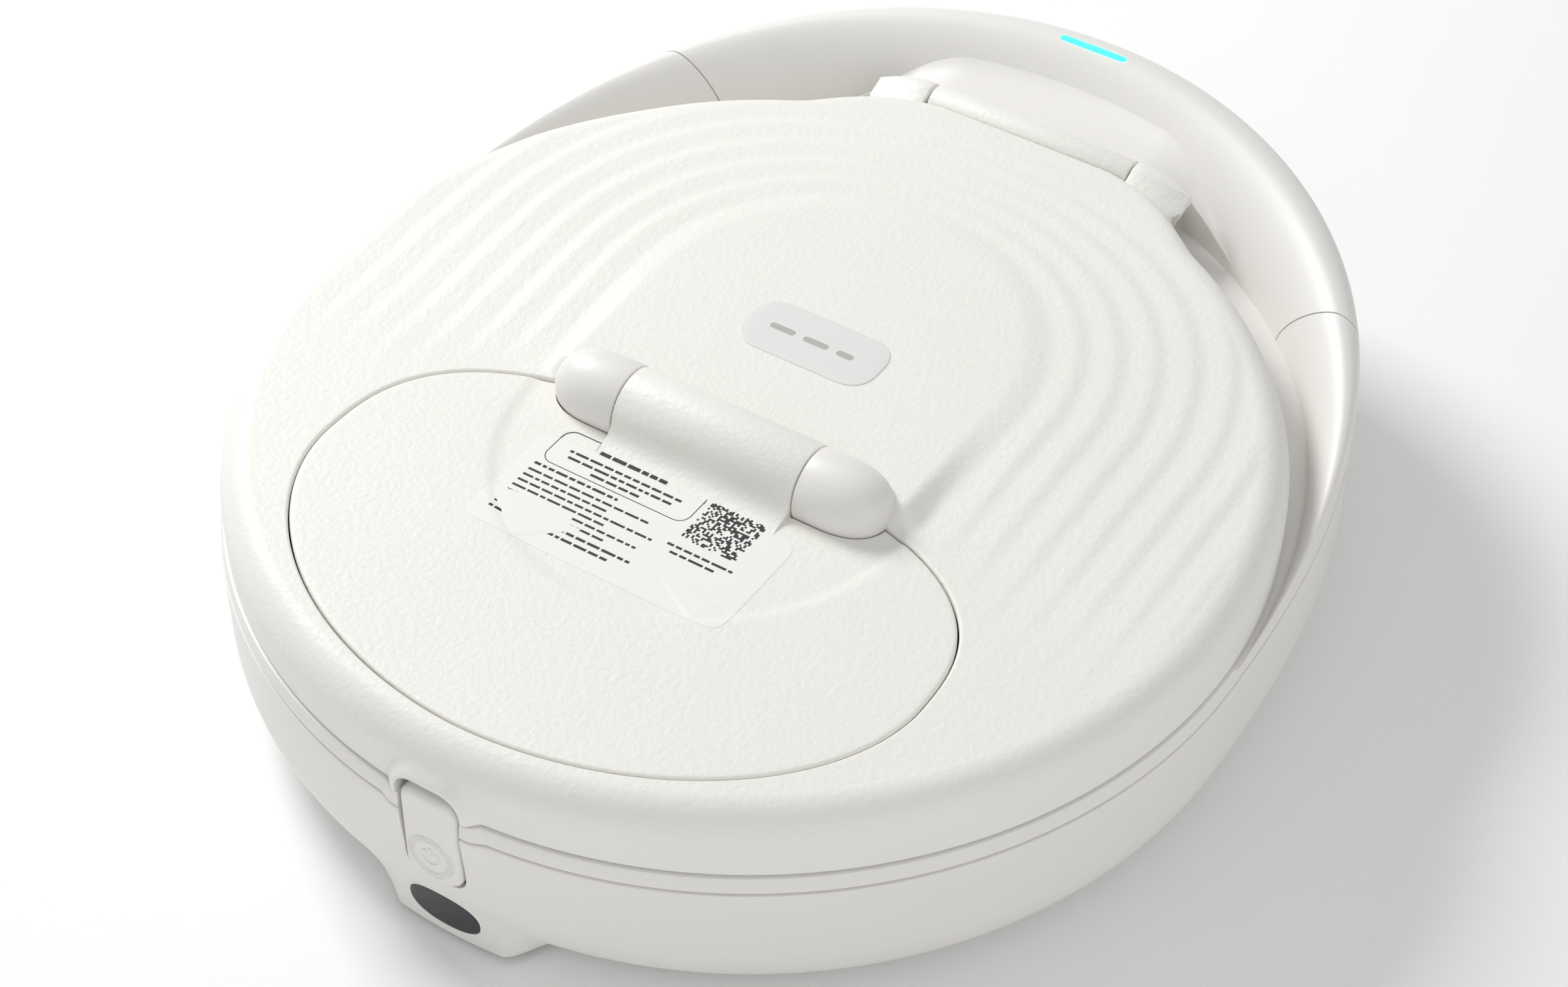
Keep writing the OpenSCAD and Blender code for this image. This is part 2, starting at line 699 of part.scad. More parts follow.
module feeding_flap() {
    color(white) placed() difference() {
        union() {
            difference() {
                flap_plan(top_z - wall, top_z, 0);
                hinge_form(barrel_r + slack, caps_half + slack);
            }
            translate(flap_axis) along_x(-barrel_half, barrel_half, barrel_r);
            translate([barrel_half, 0, 0]) rotate([0, -90, 0]) linear_extrude(2 * barrel_half)
                polygon([[top_z - wall, -38], [top_z, -38], [top_z + 1, -32], [top_z + 4, -28],
                    [top_z + 4, -18], [top_z - wall, -18]]);
        }
        translate(flap_axis) along_x(-60, 60, pin_r + pin_play);
    }
}

module flap_liner() {
    color(white) placed() difference() {
        flap_plan(seam_h + 14.4, top_z - wall - 0.05, -6);
        flap_plan(seam_h + 16.4, top_z - wall + 1, -8.4);
        hinge_form(barrel_r + slack, caps_half + slack);
        box([-80, -31, 0], [80, 0, 200]);
    }
}

module flap_seal() {
    color([0.6, 0.6, 0.6]) placed() difference() {
        flap_plan(top_z - wall - 1.6, top_z - wall - 0.05, -3);
        flap_plan(seam_h, top_z, -5.9);
        box([-80, -31, 0], [80, 0, 200]);
    }
}

module flap_label() {
    color([0.95, 0.95, 0.94]) placed() translate([-4, -60, top_z])
        linear_extrude(0.12) polygon(rounded_box(86, 40, 4));
}

lower_shell();
bottom_plate();
rubber_feet();
bottom_screws();
upper_housing();
food_well();
arch_shoulders();
arch_cap();
rear_hinge_block();
rear_hinge_pin();
light_bar();
light_board();
display_window();
display_board();
main_board();
drive_motor();
motor_bracket();
spindle_bearing();
latch_pocket();
latch_pin();
latch_spring();
power_jack();
cold_plate();
cooling_module();
heat_sink();
fan_frame();
rear_grille();
cover_shell();
cover_skirt();
cover_liner();
gasket_carrier();
cover_gasket();
cover_catch();
hinge_caps();
badge_plate();
flap_hinge_pin();
flap_motor();
cover_screws();
feeding_flap();
flap_liner();
flap_seal();
flap_label();
latch_button();
turntable();
food_tray();
motor_pinion();
fan_rotor();
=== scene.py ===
"""Looks of a round automatic pet feeder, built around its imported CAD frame.

Lengths inside this file are millimetres measured from the turntable's axis at floor level
(+Y to the rear arch, -Y to the latch, +Z up). One function turns them into the frame's metres.
"""

import json
import logging
import math
from collections.abc import Callable
from dataclasses import dataclass, field
from enum import Enum

import bmesh
import bpy
import numpy as np
from mathutils import Matrix, Vector


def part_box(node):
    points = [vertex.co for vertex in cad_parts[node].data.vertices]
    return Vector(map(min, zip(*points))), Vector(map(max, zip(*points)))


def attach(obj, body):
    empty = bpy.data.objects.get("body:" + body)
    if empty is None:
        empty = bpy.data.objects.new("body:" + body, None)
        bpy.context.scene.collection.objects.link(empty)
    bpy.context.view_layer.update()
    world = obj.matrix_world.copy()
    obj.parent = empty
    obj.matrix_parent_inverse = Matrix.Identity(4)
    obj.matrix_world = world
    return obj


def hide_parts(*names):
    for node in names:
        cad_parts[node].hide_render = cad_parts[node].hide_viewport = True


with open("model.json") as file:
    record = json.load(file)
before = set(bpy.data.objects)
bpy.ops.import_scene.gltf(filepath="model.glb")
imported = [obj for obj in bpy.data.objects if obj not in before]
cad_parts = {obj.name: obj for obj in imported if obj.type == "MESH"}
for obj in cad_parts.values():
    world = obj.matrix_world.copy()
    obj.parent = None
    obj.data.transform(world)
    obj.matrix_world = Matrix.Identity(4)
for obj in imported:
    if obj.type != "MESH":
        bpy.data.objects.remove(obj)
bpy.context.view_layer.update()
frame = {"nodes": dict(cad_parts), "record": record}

LOG = logging.getLogger("feeder")

MM = 0.001
SEAM = 60.0
DECK = 59.4
BAND_FOOT = 54.0
HOUSING_TOP = 53.5
TOP = 81.0
PLATEAU = 86.3
DRUM_R = 162.6
REACH = 57.5
FLAP_AXIS = (-17.5, 83.8)
REAR_AXIS = (165.0, 78.5)
BARREL_R = 12.2
FLAP_Y = -74.0
FRONT_RISE = 0.0131
FRONT_RISE_Y = -38.0

CLOUD_PER_METRE = 14.0
SPECK_MM = 0.9
SPECK_SHARE = 0.12

Height = Callable[[np.ndarray, np.ndarray], np.ndarray]


def axis_shift() -> float:
    """Y of the turntable's axis in the frame, in mm: the middle of the round food tray."""
    low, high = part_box("food_tray")
    return (low.y + high.y) / 2 / MM


SHIFT_Y = axis_shift()


# ---- numbers ----


def smooth(t: np.ndarray) -> np.ndarray:
    """Smooth step 3u^2 - 2u^3 of t held between 0 and 1."""
    u = np.clip(t, 0.0, 1.0)
    return u * u * (3.0 - 2.0 * u)


def plan_radius(a: np.ndarray) -> np.ndarray:
    """Plan radius of the housing: a circle plus a swelling that goes with the squared sine."""
    return DRUM_R + REACH * np.maximum(np.sin(a), 0.0) ** 2


def resample(points: np.ndarray, count: int, closed: bool = True) -> np.ndarray:
    """Points spread evenly by arc length along a polyline.

    Args:
        points: (n, k) corner points in order.
        count: number of points wanted.
        closed: True if the line runs back to its first point.

    Returns:
        (count, k) points; a closed line's last point is one step before its first.
    """
    line = np.vstack([points, points[:1]]) if closed else points
    run = np.concatenate([[0.0], np.cumsum(np.linalg.norm(np.diff(line, axis=0), axis=1))])
    at = np.linspace(0.0, run[-1], count, endpoint=not closed)
    return np.stack([np.interp(at, run, line[:, k]) for k in range(line.shape[1])], axis=1)


def superellipse(a: float, b_back: float, b_front: float, e_back: float, e_front: float,
                 mid_y: float, count: int) -> np.ndarray:
    """Outline of two half superellipses that meet at their widest place.

    Args:
        a: half width.
        b_back: depth of the half towards +Y.
        b_front: depth of the half towards -Y.
        e_back: exponent of the back half.
        e_front: exponent of the front half.
        mid_y: y where the halves meet.
        count: number of points.

    Returns:
        (count, 2) points, counter-clockwise, evenly spread.
    """
    t = np.linspace(0.0, 2 * np.pi, 4 * count, endpoint=False)
    e = np.where(np.sin(t) > 0, e_back, e_front)
    b = np.where(np.sin(t) > 0, b_back, b_front)
    c, s = np.cos(t), np.sin(t)
    x = a * np.sign(c) * np.abs(c) ** (2 / e)
    y = mid_y + b * np.sign(s) * np.abs(s) ** (2 / e)
    return resample(np.stack([x, y], axis=1), count)


def rounded_rectangle(w: float, h: float, r: float, count: int, e: float = 2.4) -> np.ndarray:
    """Rectangle whose corners are quarter superellipses of radius r.

    Args:
        w: width.
        h: height.
        r: radius of the corners.
        count: number of points.
        e: exponent of the corners.

    Returns:
        (count, 2) points, counter-clockwise, evenly spread.
    """
    q = np.linspace(0.0, np.pi / 2, 24)
    arc = np.stack([r * np.cos(q) ** (2 / e), r * np.sin(q) ** (2 / e)], axis=1)
    parts = []
    for k in range(4):
        c, s = math.cos(k * math.pi / 2), math.sin(k * math.pi / 2)
        turned = arc @ np.array([[c, s], [-s, c]])
        corner = np.array([(w / 2 - r) * (1 if k in (0, 3) else -1),
                           (h / 2 - r) * (1 if k in (0, 1) else -1)])
        parts.append(turned + corner)
    return resample(np.vstack(parts), count)


def inset(outline: np.ndarray, d: float) -> np.ndarray:
    """The outline drawn in by d along its normals.

    Args:
        outline: (n, 2) points, counter-clockwise.
        d: distance inwards.

    Returns:
        (n, 2) points.
    """
    step = np.roll(outline, -1, axis=0) - np.roll(outline, 1, axis=0)
    normal = np.stack([-step[:, 1], step[:, 0]], axis=1)
    return outline + normal / np.linalg.norm(normal, axis=1, keepdims=True) * d


def arc(cx: float, cz: float, r: float, start: float, end: float, n: int) -> np.ndarray:
    """Points of a circular arc between two angles in degrees."""
    q = np.radians(np.linspace(start, end, n))
    return np.stack([cx + r * np.cos(q), cz + r * np.sin(q)], axis=1)


def lay_at(outline: np.ndarray, z: float) -> np.ndarray:
    """A flat (x, y) outline laid at height z."""
    return np.column_stack([outline, np.full(len(outline), z)])


def stand_at(section: np.ndarray, x: float) -> np.ndarray:
    """A (y, z) section stood at a place x across."""
    return np.column_stack([np.full(len(section), x), section])


def quadratic(start: np.ndarray, bend: np.ndarray, end: np.ndarray, t: np.ndarray) -> np.ndarray:
    """Quadratic curve: (1 - t)^2 start + 2t(1 - t) bend + t^2 end, at a column of t."""
    return (1 - t) ** 2 * start + 2 * t * (1 - t) * bend + t * t * end


def flat_top(y: np.ndarray) -> np.ndarray:
    """Height of the flat face that cover and flap share: it rises evenly towards the front."""
    return TOP + FRONT_RISE * np.maximum(FRONT_RISE_Y - y, 0.0)


def flap_outline(grow: float, count: int) -> np.ndarray:
    """Outline of the flap, grown by some mm for its opening: blunt behind, longer in front."""
    return superellipse(104.0 + grow, 60.0 + grow, 75.0 + grow, 2.7, 1.9, FLAP_Y, count)


# ---- meshes ----


def enclosed(p: np.ndarray, quads: np.ndarray, tris: np.ndarray) -> float:
    """Signed volume of a closed mesh, below nought if its faces point inwards.

    Args:
        p: (n, 3) points.
        quads: (m, 4) point indices.
        tris: (k, 3) point indices.

    Returns:
        Volume in the points' own unit, cubed.
    """
    halves = np.concatenate([quads[:, [0, 1, 2]], quads[:, [0, 2, 3]], tris])
    a, b, c = (p[halves[:, k]] for k in range(3))
    return float(np.einsum("ij,ij->i", a, np.cross(b, c)).sum() / 6)


class MeshMaker:
    """Collects grids of points and closed caps, and turns them into one Blender mesh."""

    def __init__(self) -> None:
        """Starts with no points."""
        self.points: list[np.ndarray] = []
        self.faces: list[np.ndarray] = []
        self.triangles: list[np.ndarray] = []
        self.count = 0

    def grid(self, p: np.ndarray, wrap_v: bool = False, flip: bool = False) -> int:
        """Adds a grid of quads whose last column joins the first.

        Args:
            p: (rows, columns, 3) points in mm; columns run round and rows run along.
            wrap_v: True if the last row joins the first.
            flip: True to turn the faces round.

        Returns:
            Index of the grid's first point.
        """
        rows, cols = p.shape[:2]
        j, i = np.meshgrid(np.arange(rows if wrap_v else rows - 1), np.arange(cols),
                           indexing="ij")
        jn, inn = (j + 1) % rows, (i + 1) % cols
        quad = np.stack([j * cols + i, j * cols + inn, jn * cols + inn, jn * cols + i], axis=-1)
        quad = quad.reshape(-1, 4)
        first = self.count
        self.faces.append((quad[:, ::-1] if flip else quad) + first)
        self.points.append(p.reshape(-1, 3))
        self.count += rows * cols
        return first

    def fan(self, ring: np.ndarray, centre: np.ndarray, flip: bool = False) -> None:
        """Closes a ring of point indices with triangles to a centre point.

        Args:
            ring: point indices in order.
            centre: place of the tip.
            flip: True to turn the triangles round.
        """
        self.points.append(np.asarray(centre, float).reshape(1, 3))
        tip = np.full(len(ring), self.count)
        self.count += 1
        tri = np.stack([ring, np.roll(ring, -1), tip], axis=1)
        self.triangles.append(tri[:, ::-1] if flip else tri)

    def solid(self, rows: np.ndarray, start: list | None = None, end: list | None = None,
              flip: bool = False) -> None:
        """Adds a loft through closed rings, with a fan over each end.

        Args:
            rows: (rows, columns, 3) points in mm.
            start: tip of the first ring's fan; left out, it is the ring's own middle.
            end: tip of the last ring's fan, in the same way.
            flip: True to turn the faces round.
        """
        first = self.grid(rows, flip=flip)
        count, columns = rows.shape[:2]
        ring = np.arange(columns) + first
        self.fan(ring, rows[0].mean(axis=0) if start is None else start, flip=not flip)
        self.fan(ring + (count - 1) * columns, rows[-1].mean(axis=0) if end is None else end,
                 flip=flip)

    def build(self, name: str, smooth_angle: float = 40.0) -> bpy.types.Object:
        """Makes the object, shaded smooth except over edges sharper than the angle.

        Args:
            name: object name.
            smooth_angle: angle in degrees.

        Returns:
            The object, in the scene.
        """
        p = np.concatenate(self.points)
        p = (p + np.array([0.0, SHIFT_Y, 0.0])) * MM
        quads = np.concatenate(self.faces) if self.faces else np.zeros((0, 4), int)
        tris = np.concatenate(self.triangles) if self.triangles else np.zeros((0, 3), int)
        if enclosed(p, quads, tris) < 0:
            quads, tris = quads[:, ::-1], tris[:, ::-1]
        mesh = bpy.data.meshes.new(name)
        mesh.vertices.add(len(p))
        mesh.vertices.foreach_set("co", p.ravel())
        corners = np.concatenate([quads.ravel(), tris.ravel()])
        sizes = np.concatenate([np.full(len(quads), 4), np.full(len(tris), 3)])
        mesh.loops.add(len(corners))
        mesh.loops.foreach_set("vertex_index", corners)
        mesh.polygons.add(len(sizes))
        mesh.polygons.foreach_set("loop_start", np.concatenate([[0], np.cumsum(sizes)[:-1]]))
        mesh.update(calc_edges=True)
        mesh.validate()
        obj = bpy.data.objects.new(name, mesh)
        bpy.context.scene.collection.objects.link(obj)
        shade(obj, smooth_angle)
        return obj


def shade(obj: bpy.types.Object, angle: float) -> None:
    """Smooth shading, with edges sharper than the angle in degrees kept crisp."""
    obj.data.polygons.foreach_set("use_smooth", np.ones(len(obj.data.polygons), bool))
    obj.data.set_sharp_from_angle(angle=math.radians(angle))


def loop_skin(name: str, rows: np.ndarray, smooth_angle: float = 40.0) -> bpy.types.Object:
    """A ring-shaped closed solid: each row is a closed ring and the last row joins the first.

    Args:
        name: object name.
        rows: (rows, columns, 3) points in mm.
        smooth_angle: edges sharper than this stay crisp.

    Returns:
        The object.
    """
    maker = MeshMaker()
    maker.grid(rows, wrap_v=True)
    return maker.build(name, smooth_angle)


def capped_loft(name: str, rows: np.ndarray) -> bpy.types.Object:
    """A solid lofted through closed rings, closed at both ends by fans to the rings' middles.

    Args:
        name: object name.
        rows: (rows, columns, 3) points in mm.

    Returns:
        The object.
    """
    maker = MeshMaker()
    maker.solid(rows)
    return maker.build(name)


def plate(name: str, outline: np.ndarray, profile: np.ndarray, top: Height,
          rings: int) -> bpy.types.Object:
    """A slab with rounded rims that follows a height function over its outline.

    Args:
        name: object name.
        outline: (n, 2) outline, counter-clockwise.
        profile: (k, 2) rim points from the bottom to the top, as (drawn in, height below top).
        top: height function of x and y for the upper face.
        rings: rings between the rim and the middle.

    Returns:
        The finished object.
    """
    rows = []
    for d, drop in profile:
        ring = inset(outline, d)
        rows.append(np.column_stack([ring, top(ring[:, 0], ring[:, 1]) - drop]))
    inner = inset(outline, profile[-1][0])
    middle = inner.mean(axis=0)
    for k in range(1, rings):
        ring = inner + (middle - inner) * (k / rings)
        rows.append(np.column_stack([ring, top(ring[:, 0], ring[:, 1])]))
    maker = MeshMaker()
    maker.solid(np.array(rows), end=[*middle, float(top(*middle))])
    return maker.build(name)


def box_cutter(lo: tuple, hi: tuple) -> bpy.types.Object:
    """A plain box used only to cut."""
    base = np.array([[lo[0], lo[1]], [hi[0], lo[1]], [hi[0], hi[1]], [lo[0], hi[1]]], float)
    return prism_cutter(base, (lo[2], hi[2]))


def prism_cutter(outline: np.ndarray, depths: tuple, along_y: bool = False) -> bpy.types.Object:
    """A prism used only to cut: an outline carried upwards, or along Y if along_y is True."""
    rows = np.array([lay_at(outline, d) for d in depths])
    return capped_loft("cutter", rows[..., [0, 2, 1]] if along_y else rows)


def rod_rows(x_and_r: np.ndarray, y: float, z: float, n: int = 96) -> np.ndarray:
    """Rings round a bar along X: each (x, radius) pair gives a circle in the YZ plane.

    Args:
        x_and_r: (n, 2) pairs.
        y: y of the bar's axis.
        z: z of the bar's axis.
        n: points in each ring.

    Returns:
        (rows, columns, 3) points in mm.
    """
    q = np.linspace(0, 2 * np.pi, n, endpoint=False)
    x, r = x_and_r[:, :1], x_and_r[:, 1:]
    return np.stack([np.broadcast_to(x, (len(x), n)), y + r * np.cos(q), z + r * np.sin(q)],
                    axis=-1)


def cut(obj: bpy.types.Object, *cutters: bpy.types.Object,
        angle: float = 40.0) -> bpy.types.Object:
    """Cuts the cutters out of obj for good and removes them.

    Args:
        obj: piece to cut.
        cutters: closed solids.
        angle: edges sharper stay crisp.

    Returns:
        The cut piece.
    """
    for tool in cutters:
        bpy.context.view_layer.update()
        fix_normals(tool)
        mod = obj.modifiers.new("cut", "BOOLEAN")
        mod.operation = "DIFFERENCE"
        mod.solver = "EXACT"
        mod.object = tool
        evaluated = obj.evaluated_get(bpy.context.evaluated_depsgraph_get())
        mesh = bpy.data.meshes.new_from_object(evaluated)
        obj.modifiers.clear()
        old = obj.data
        obj.data = mesh
        bpy.data.meshes.remove(old)
        bpy.data.objects.remove(tool)
    shade(obj, angle)
    return obj


def fix_normals(obj: bpy.types.Object) -> None:
    """Points every face of a closed mesh outwards.

    Args:
        obj: the closed piece.
    """
    bm = bmesh.new()
    bm.from_mesh(obj.data)
    bmesh.ops.recalc_face_normals(bm, faces=bm.faces)
    bm.to_mesh(obj.data)
    bm.free()


# ---- finishes ----


def linear(hex_colour: str) -> tuple:
    """sRGB hex colour as linear RGBA."""
    values = [int(hex_colour[i:i + 2], 16) / 255 for i in (1, 3, 5)]
    return (*(v / 12.92 if v <= 0.04045 else ((v + 0.055) / 1.055) ** 2.4 for v in values), 1.0)


def add(tree: bpy.types.NodeTree, kind: str, links: dict | None = None,
        **settings: str) -> bpy.types.Node:
    """Adds a node with its settings and its incoming links.

    Args:
        tree: node tree of the material.
        kind: node type.
        links: input name or number to an output socket or a value.
        settings: properties of the node.

    Returns:
        The new node.
    """
    node = tree.nodes.new(kind)
    for key, value in settings.items():
        setattr(node, key, value)
    for key, value in (links or {}).items():
        if isinstance(value, bpy.types.NodeSocket):
            tree.links.new(value, node.inputs[key])
        else:
            node.inputs[key].default_value = value
    return node


def blank(name: str) -> tuple:
    """A new material, its emptied node tree and its Object coordinates.

    Args:
        name: material name.

    Returns:
        Material, node tree and coordinate socket.
    """
    mat = bpy.data.materials.new(name)
    mat.use_nodes = True
    mat.node_tree.nodes.clear()
    return mat, mat.node_tree, add(mat.node_tree, "ShaderNodeTexCoord").outputs["Object"]


class Texture(Enum):
    """How a moulding's tool face was finished."""

    GRAIN = "spark eroded grain"
    SATIN = "fine stoned satin"
    POLISHED = "polished"


@dataclass(frozen=True)
class Moulded:
    """Injection-moulded plastic: a body colour, faint clouding, and the tool face's texture."""

    name: str
    colour: str
    shade_colour: str
    roughness: float
    texture: Texture
    grain_mm: float = 1.1
    bump_mm: float = 0.05
    ior: float = 1.52
    subsurface: float = 0.0

    def build(self) -> bpy.types.Material:
        """Makes the material.

        Returns:
            A material on Object coordinates whose grain size is in real millimetres.
        """
        mat, tree, coord = blank(self.name)
        cloud = add(tree, "ShaderNodeTexNoise", {"Vector": coord, "Scale": CLOUD_PER_METRE,
                                                 "Detail": 3.0, "Roughness": 0.55})
        speck = add(tree, "ShaderNodeTexNoise", {"Vector": coord, "Scale": 1 / (SPECK_MM * MM),
                                                 "Detail": 2.0})
        mixed = add(tree, "ShaderNodeMath", {0: cloud.outputs["Fac"], 1: speck.outputs["Fac"],
                                             2: SPECK_SHARE}, operation="MULTIPLY_ADD")
        tint = add(tree, "ShaderNodeMix", {"Factor": mixed.outputs[0],
                                           6: linear(self.shade_colour),
                                           7: linear(self.colour)}, data_type="RGBA")
        fine = add(tree, "ShaderNodeTexNoise", {"Vector": coord, "Scale": 1 / (self.grain_mm * MM),
                                                "Detail": 2.5, "Roughness": 0.5,
                                                "Distortion": 0.35})
        pits = add(tree, "ShaderNodeTexVoronoi", {"Vector": coord,
                                                  "Scale": 0.75 / (self.grain_mm * MM)},
                   feature="SMOOTH_F1")
        share = {Texture.GRAIN: 0.55, Texture.SATIN: 0.2, Texture.POLISHED: 0.0}[self.texture]
        relief = add(tree, "ShaderNodeMath", {0: pits.outputs["Distance"], 1: share,
                                              2: fine.outputs["Fac"]}, operation="MULTIPLY_ADD")
        bump = add(tree, "ShaderNodeBump", {"Height": relief.outputs[0],
                                            "Distance": self.bump_mm * MM, "Strength": 1.0})
        rough = add(tree, "ShaderNodeMapRange", {"Value": fine.outputs["Fac"], 1: 0.3, 2: 0.7,
                                                 3: self.roughness - 0.05,
                                                 4: min(self.roughness + 0.06, 1.0)})
        shader = add(tree, "ShaderNodeBsdfPrincipled", {
            "Base Color": tint.outputs[2], "Roughness": rough.outputs[0],
            "Normal": bump.outputs["Normal"], "IOR": self.ior})
        if self.subsurface:
            shader.inputs["Subsurface Weight"].default_value = self.subsurface
            shader.inputs["Subsurface Radius"].default_value = (1.0, 0.85, 0.6)
            shader.inputs["Subsurface Scale"].default_value = 0.0015
        add(tree, "ShaderNodeOutputMaterial", {"Surface": shader.outputs[0]})
        return mat


@dataclass(frozen=True)
class Metal:
    """Metal part: plated, ground or extruded, with fine streaks from how it was worked."""

    name: str
    colour: str
    roughness: float
    streak_mm: float = 0.4
    stretch: tuple = (1.0, 1.0, 12.0)

    def build(self) -> bpy.types.Material:
        """Makes the material with streaks along one axis.

        Returns:
            The material.
        """
        mat, tree, coord = blank(self.name)
        mapping = add(tree, "ShaderNodeMapping", {"Vector": coord, "Scale": self.stretch})
        streak = add(tree, "ShaderNodeTexNoise", {
            "Vector": mapping.outputs[0], "Scale": 1 / (self.streak_mm * MM), "Detail": 3.0})
        rough = add(tree, "ShaderNodeMapRange", {
            "Value": streak.outputs["Fac"], 3: self.roughness - 0.08, 4: self.roughness + 0.1})
        bump = add(tree, "ShaderNodeBump", {
            "Height": streak.outputs["Fac"], "Distance": 0.01 * MM, "Strength": 1.0})
        shader = add(tree, "ShaderNodeBsdfPrincipled", {
            "Base Color": linear(self.colour), "Metallic": 1.0, "Roughness": rough.outputs[0],
            "Normal": bump.outputs["Normal"]})
        add(tree, "ShaderNodeOutputMaterial", {"Surface": shader.outputs[0]})
        return mat


@dataclass(frozen=True)
class LitDiffuser:
    """Clear-tinted light guide, lit from behind: it glows evenly all over."""

    name: str
    colour: str
    strength: float

    def build(self) -> bpy.types.Material:
        """Makes the lit material with a faint milky variation.

        Returns:
            The material.
        """
        mat, tree, coord = blank(self.name)
        milk = add(tree, "ShaderNodeTexNoise", {"Vector": coord, "Scale": 250.0, "Detail": 2.0})
        rough = add(tree, "ShaderNodeMapRange", {"Value": milk.outputs["Fac"], 3: 0.2, 4: 0.35})
        bump = add(tree, "ShaderNodeBump", {"Height": milk.outputs["Fac"], "Distance": 0.02 * MM})
        shader = add(tree, "ShaderNodeBsdfPrincipled", {
            "Base Color": linear(self.colour), "Roughness": rough.outputs[0],
            "Normal": bump.outputs["Normal"], "Emission Color": linear(self.colour),
            "Emission Strength": self.strength})
        add(tree, "ShaderNodeOutputMaterial", {"Surface": shader.outputs[0]})
        return mat


class Finishes:
    """Every finish of the feeder, by the record's material slot."""

    def __init__(self) -> None:
        """Builds the materials once."""
        plans = {
            # spark-eroded ABS: breaks the light into a fine leathery sparkle
            "cover_grain": Moulded("abs_spark_grained_white", "#f1f0eb", "#e9e8e2", 0.5,
                                   Texture.GRAIN, 1.6, 0.17, subsurface=0.05),
            # stoned-satin ABS: smooth, with soft broad highlights
            "body_satin": Moulded("abs_satin_white", "#efedea", "#e6e4e0", 0.42,
                                  Texture.SATIN, 0.8, 0.012, subsurface=0.05),
            # the same ABS, polished finer where a thumb rests
            "latch_satin": Moulded("abs_fine_satin_white", "#efeeea", "#e8e6e2", 0.4,
                                   Texture.SATIN, 0.7, 0.008, subsurface=0.05),
            # inlaid plate, a touch greyer and smoother than the cover
            "badge_satin": Moulded("abs_inlay_pale_grey", "#e6e6e4", "#e0e0de", 0.38,
                                   Texture.SATIN, 0.6, 0.006),
            # matt polypropylene film
            "label_film": Moulded("pp_film_matt_white", "#f1f1ee", "#ecebe7", 0.55,
                                  Texture.SATIN, 0.5, 0.006),
            # screen-printed ink
            "print_ink": Moulded("screen_ink_black", "#2a2a2c", "#202022", 0.5,
                                 Texture.SATIN, 0.4, 0.004),
            # pad-printed ink
            "mark_ink": Moulded("pad_ink_warm_grey", "#b9b7b3", "#b1afab", 0.5,
                                Texture.SATIN, 0.4, 0.004),
            # as-moulded ABS out of sight
            "liner_plastic": Moulded("abs_moulded_liner", "#e9e8e4", "#dfdeda", 0.48,
                                     Texture.SATIN, 1.0, 0.015),
            # polished polypropylene, easy to wash
            "tray_plastic": Moulded("pp_polished_pale_grey", "#dfe4e6", "#d6dcdf", 0.28,
                                    Texture.POLISHED, 1.4, 0.006, subsurface=0.08),
            # natural acetal gear
            "gear_plastic": Moulded("acetal_natural", "#e6e2d6", "#dcd8cb", 0.36,
                                    Texture.SATIN, 0.9, 0.01, subsurface=0.1),
            "bearing_plastic": Moulded("acetal_black", "#2c2c2e", "#252527", 0.4,
                                       Texture.SATIN, 0.9, 0.01),
            "black_plastic": Moulded("abs_moulded_black", "#232325", "#1b1b1d", 0.45,
                                     Texture.SATIN, 0.9, 0.02),
            # smoked acrylic: almost black, with a violet cast
            "window_dark": Moulded("acrylic_smoked", "#211b23", "#1d171f", 0.3,
                                   Texture.POLISHED, 0.8, 0.004, ior=1.49),
            "foot_rubber": Moulded("rubber_moulded_black", "#2e2e30", "#262628", 0.7,
                                   Texture.GRAIN, 0.7, 0.04),
            "seal_rubber": Moulded("silicone_grey", "#b2b2b0", "#a6a6a4", 0.6,
                                   Texture.SATIN, 0.7, 0.02, subsurface=0.1),
            "cooling_ceramic": Moulded("alumina_white", "#edeae4", "#e4e0d9", 0.5,
                                       Texture.SATIN, 0.5, 0.01),
            "board_green": Moulded("solder_mask_green", "#1f5a36", "#184a2c", 0.3,
                                   Texture.POLISHED, 0.8, 0.01),
            "pin_steel": Metal("steel_ground", "#c4c4c6", 0.26, 0.3, (12.0, 1.0, 1.0)),
            "screw_steel": Metal("steel_zinc_plated", "#c2c4c8", 0.36),
            "motor_steel": Metal("steel_plated_sheet", "#b4b6b9", 0.34),
            "heat_aluminium": Metal("aluminium_extruded", "#d3d5d8", 0.38, 0.4),
            "light_diffuser": LitDiffuser("acrylic_light_guide_cyan", "#25e8f2", 5.0),
        }
        self.by_slot = {slot: plan.build() for slot, plan in plans.items()}

    def dress(self, obj: bpy.types.Object, slot: str, body: str, *nodes: str) -> bpy.types.Object:
        """Gives a new piece its finish, body and the CAD nodes that it stands for.

        Args:
            obj: the piece.
            slot: finish name; a record slot unless it is an ink.
            body: CAD body that it rides on.
            nodes: CAD nodes that it replaces.

        Returns:
            The piece.
        """
        obj.data.materials.clear()
        obj.data.materials.append(self.by_slot[slot])
        if nodes:
            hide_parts(*nodes)
        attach(obj, body)
        LOG.info("%s: %d faces, %s on %s", obj.name, len(obj.data.polygons), slot, body)
        return obj

    def dress_cad(self) -> None:
        """Gives every CAD node the finish of its slot."""
        for part in frame["record"]["subparts"]:
            node = frame["nodes"][part["node"]]
            node.data.materials.clear()
            node.data.materials.append(self.by_slot[part["material_slot"]])


# ---- sub-assemblies ----


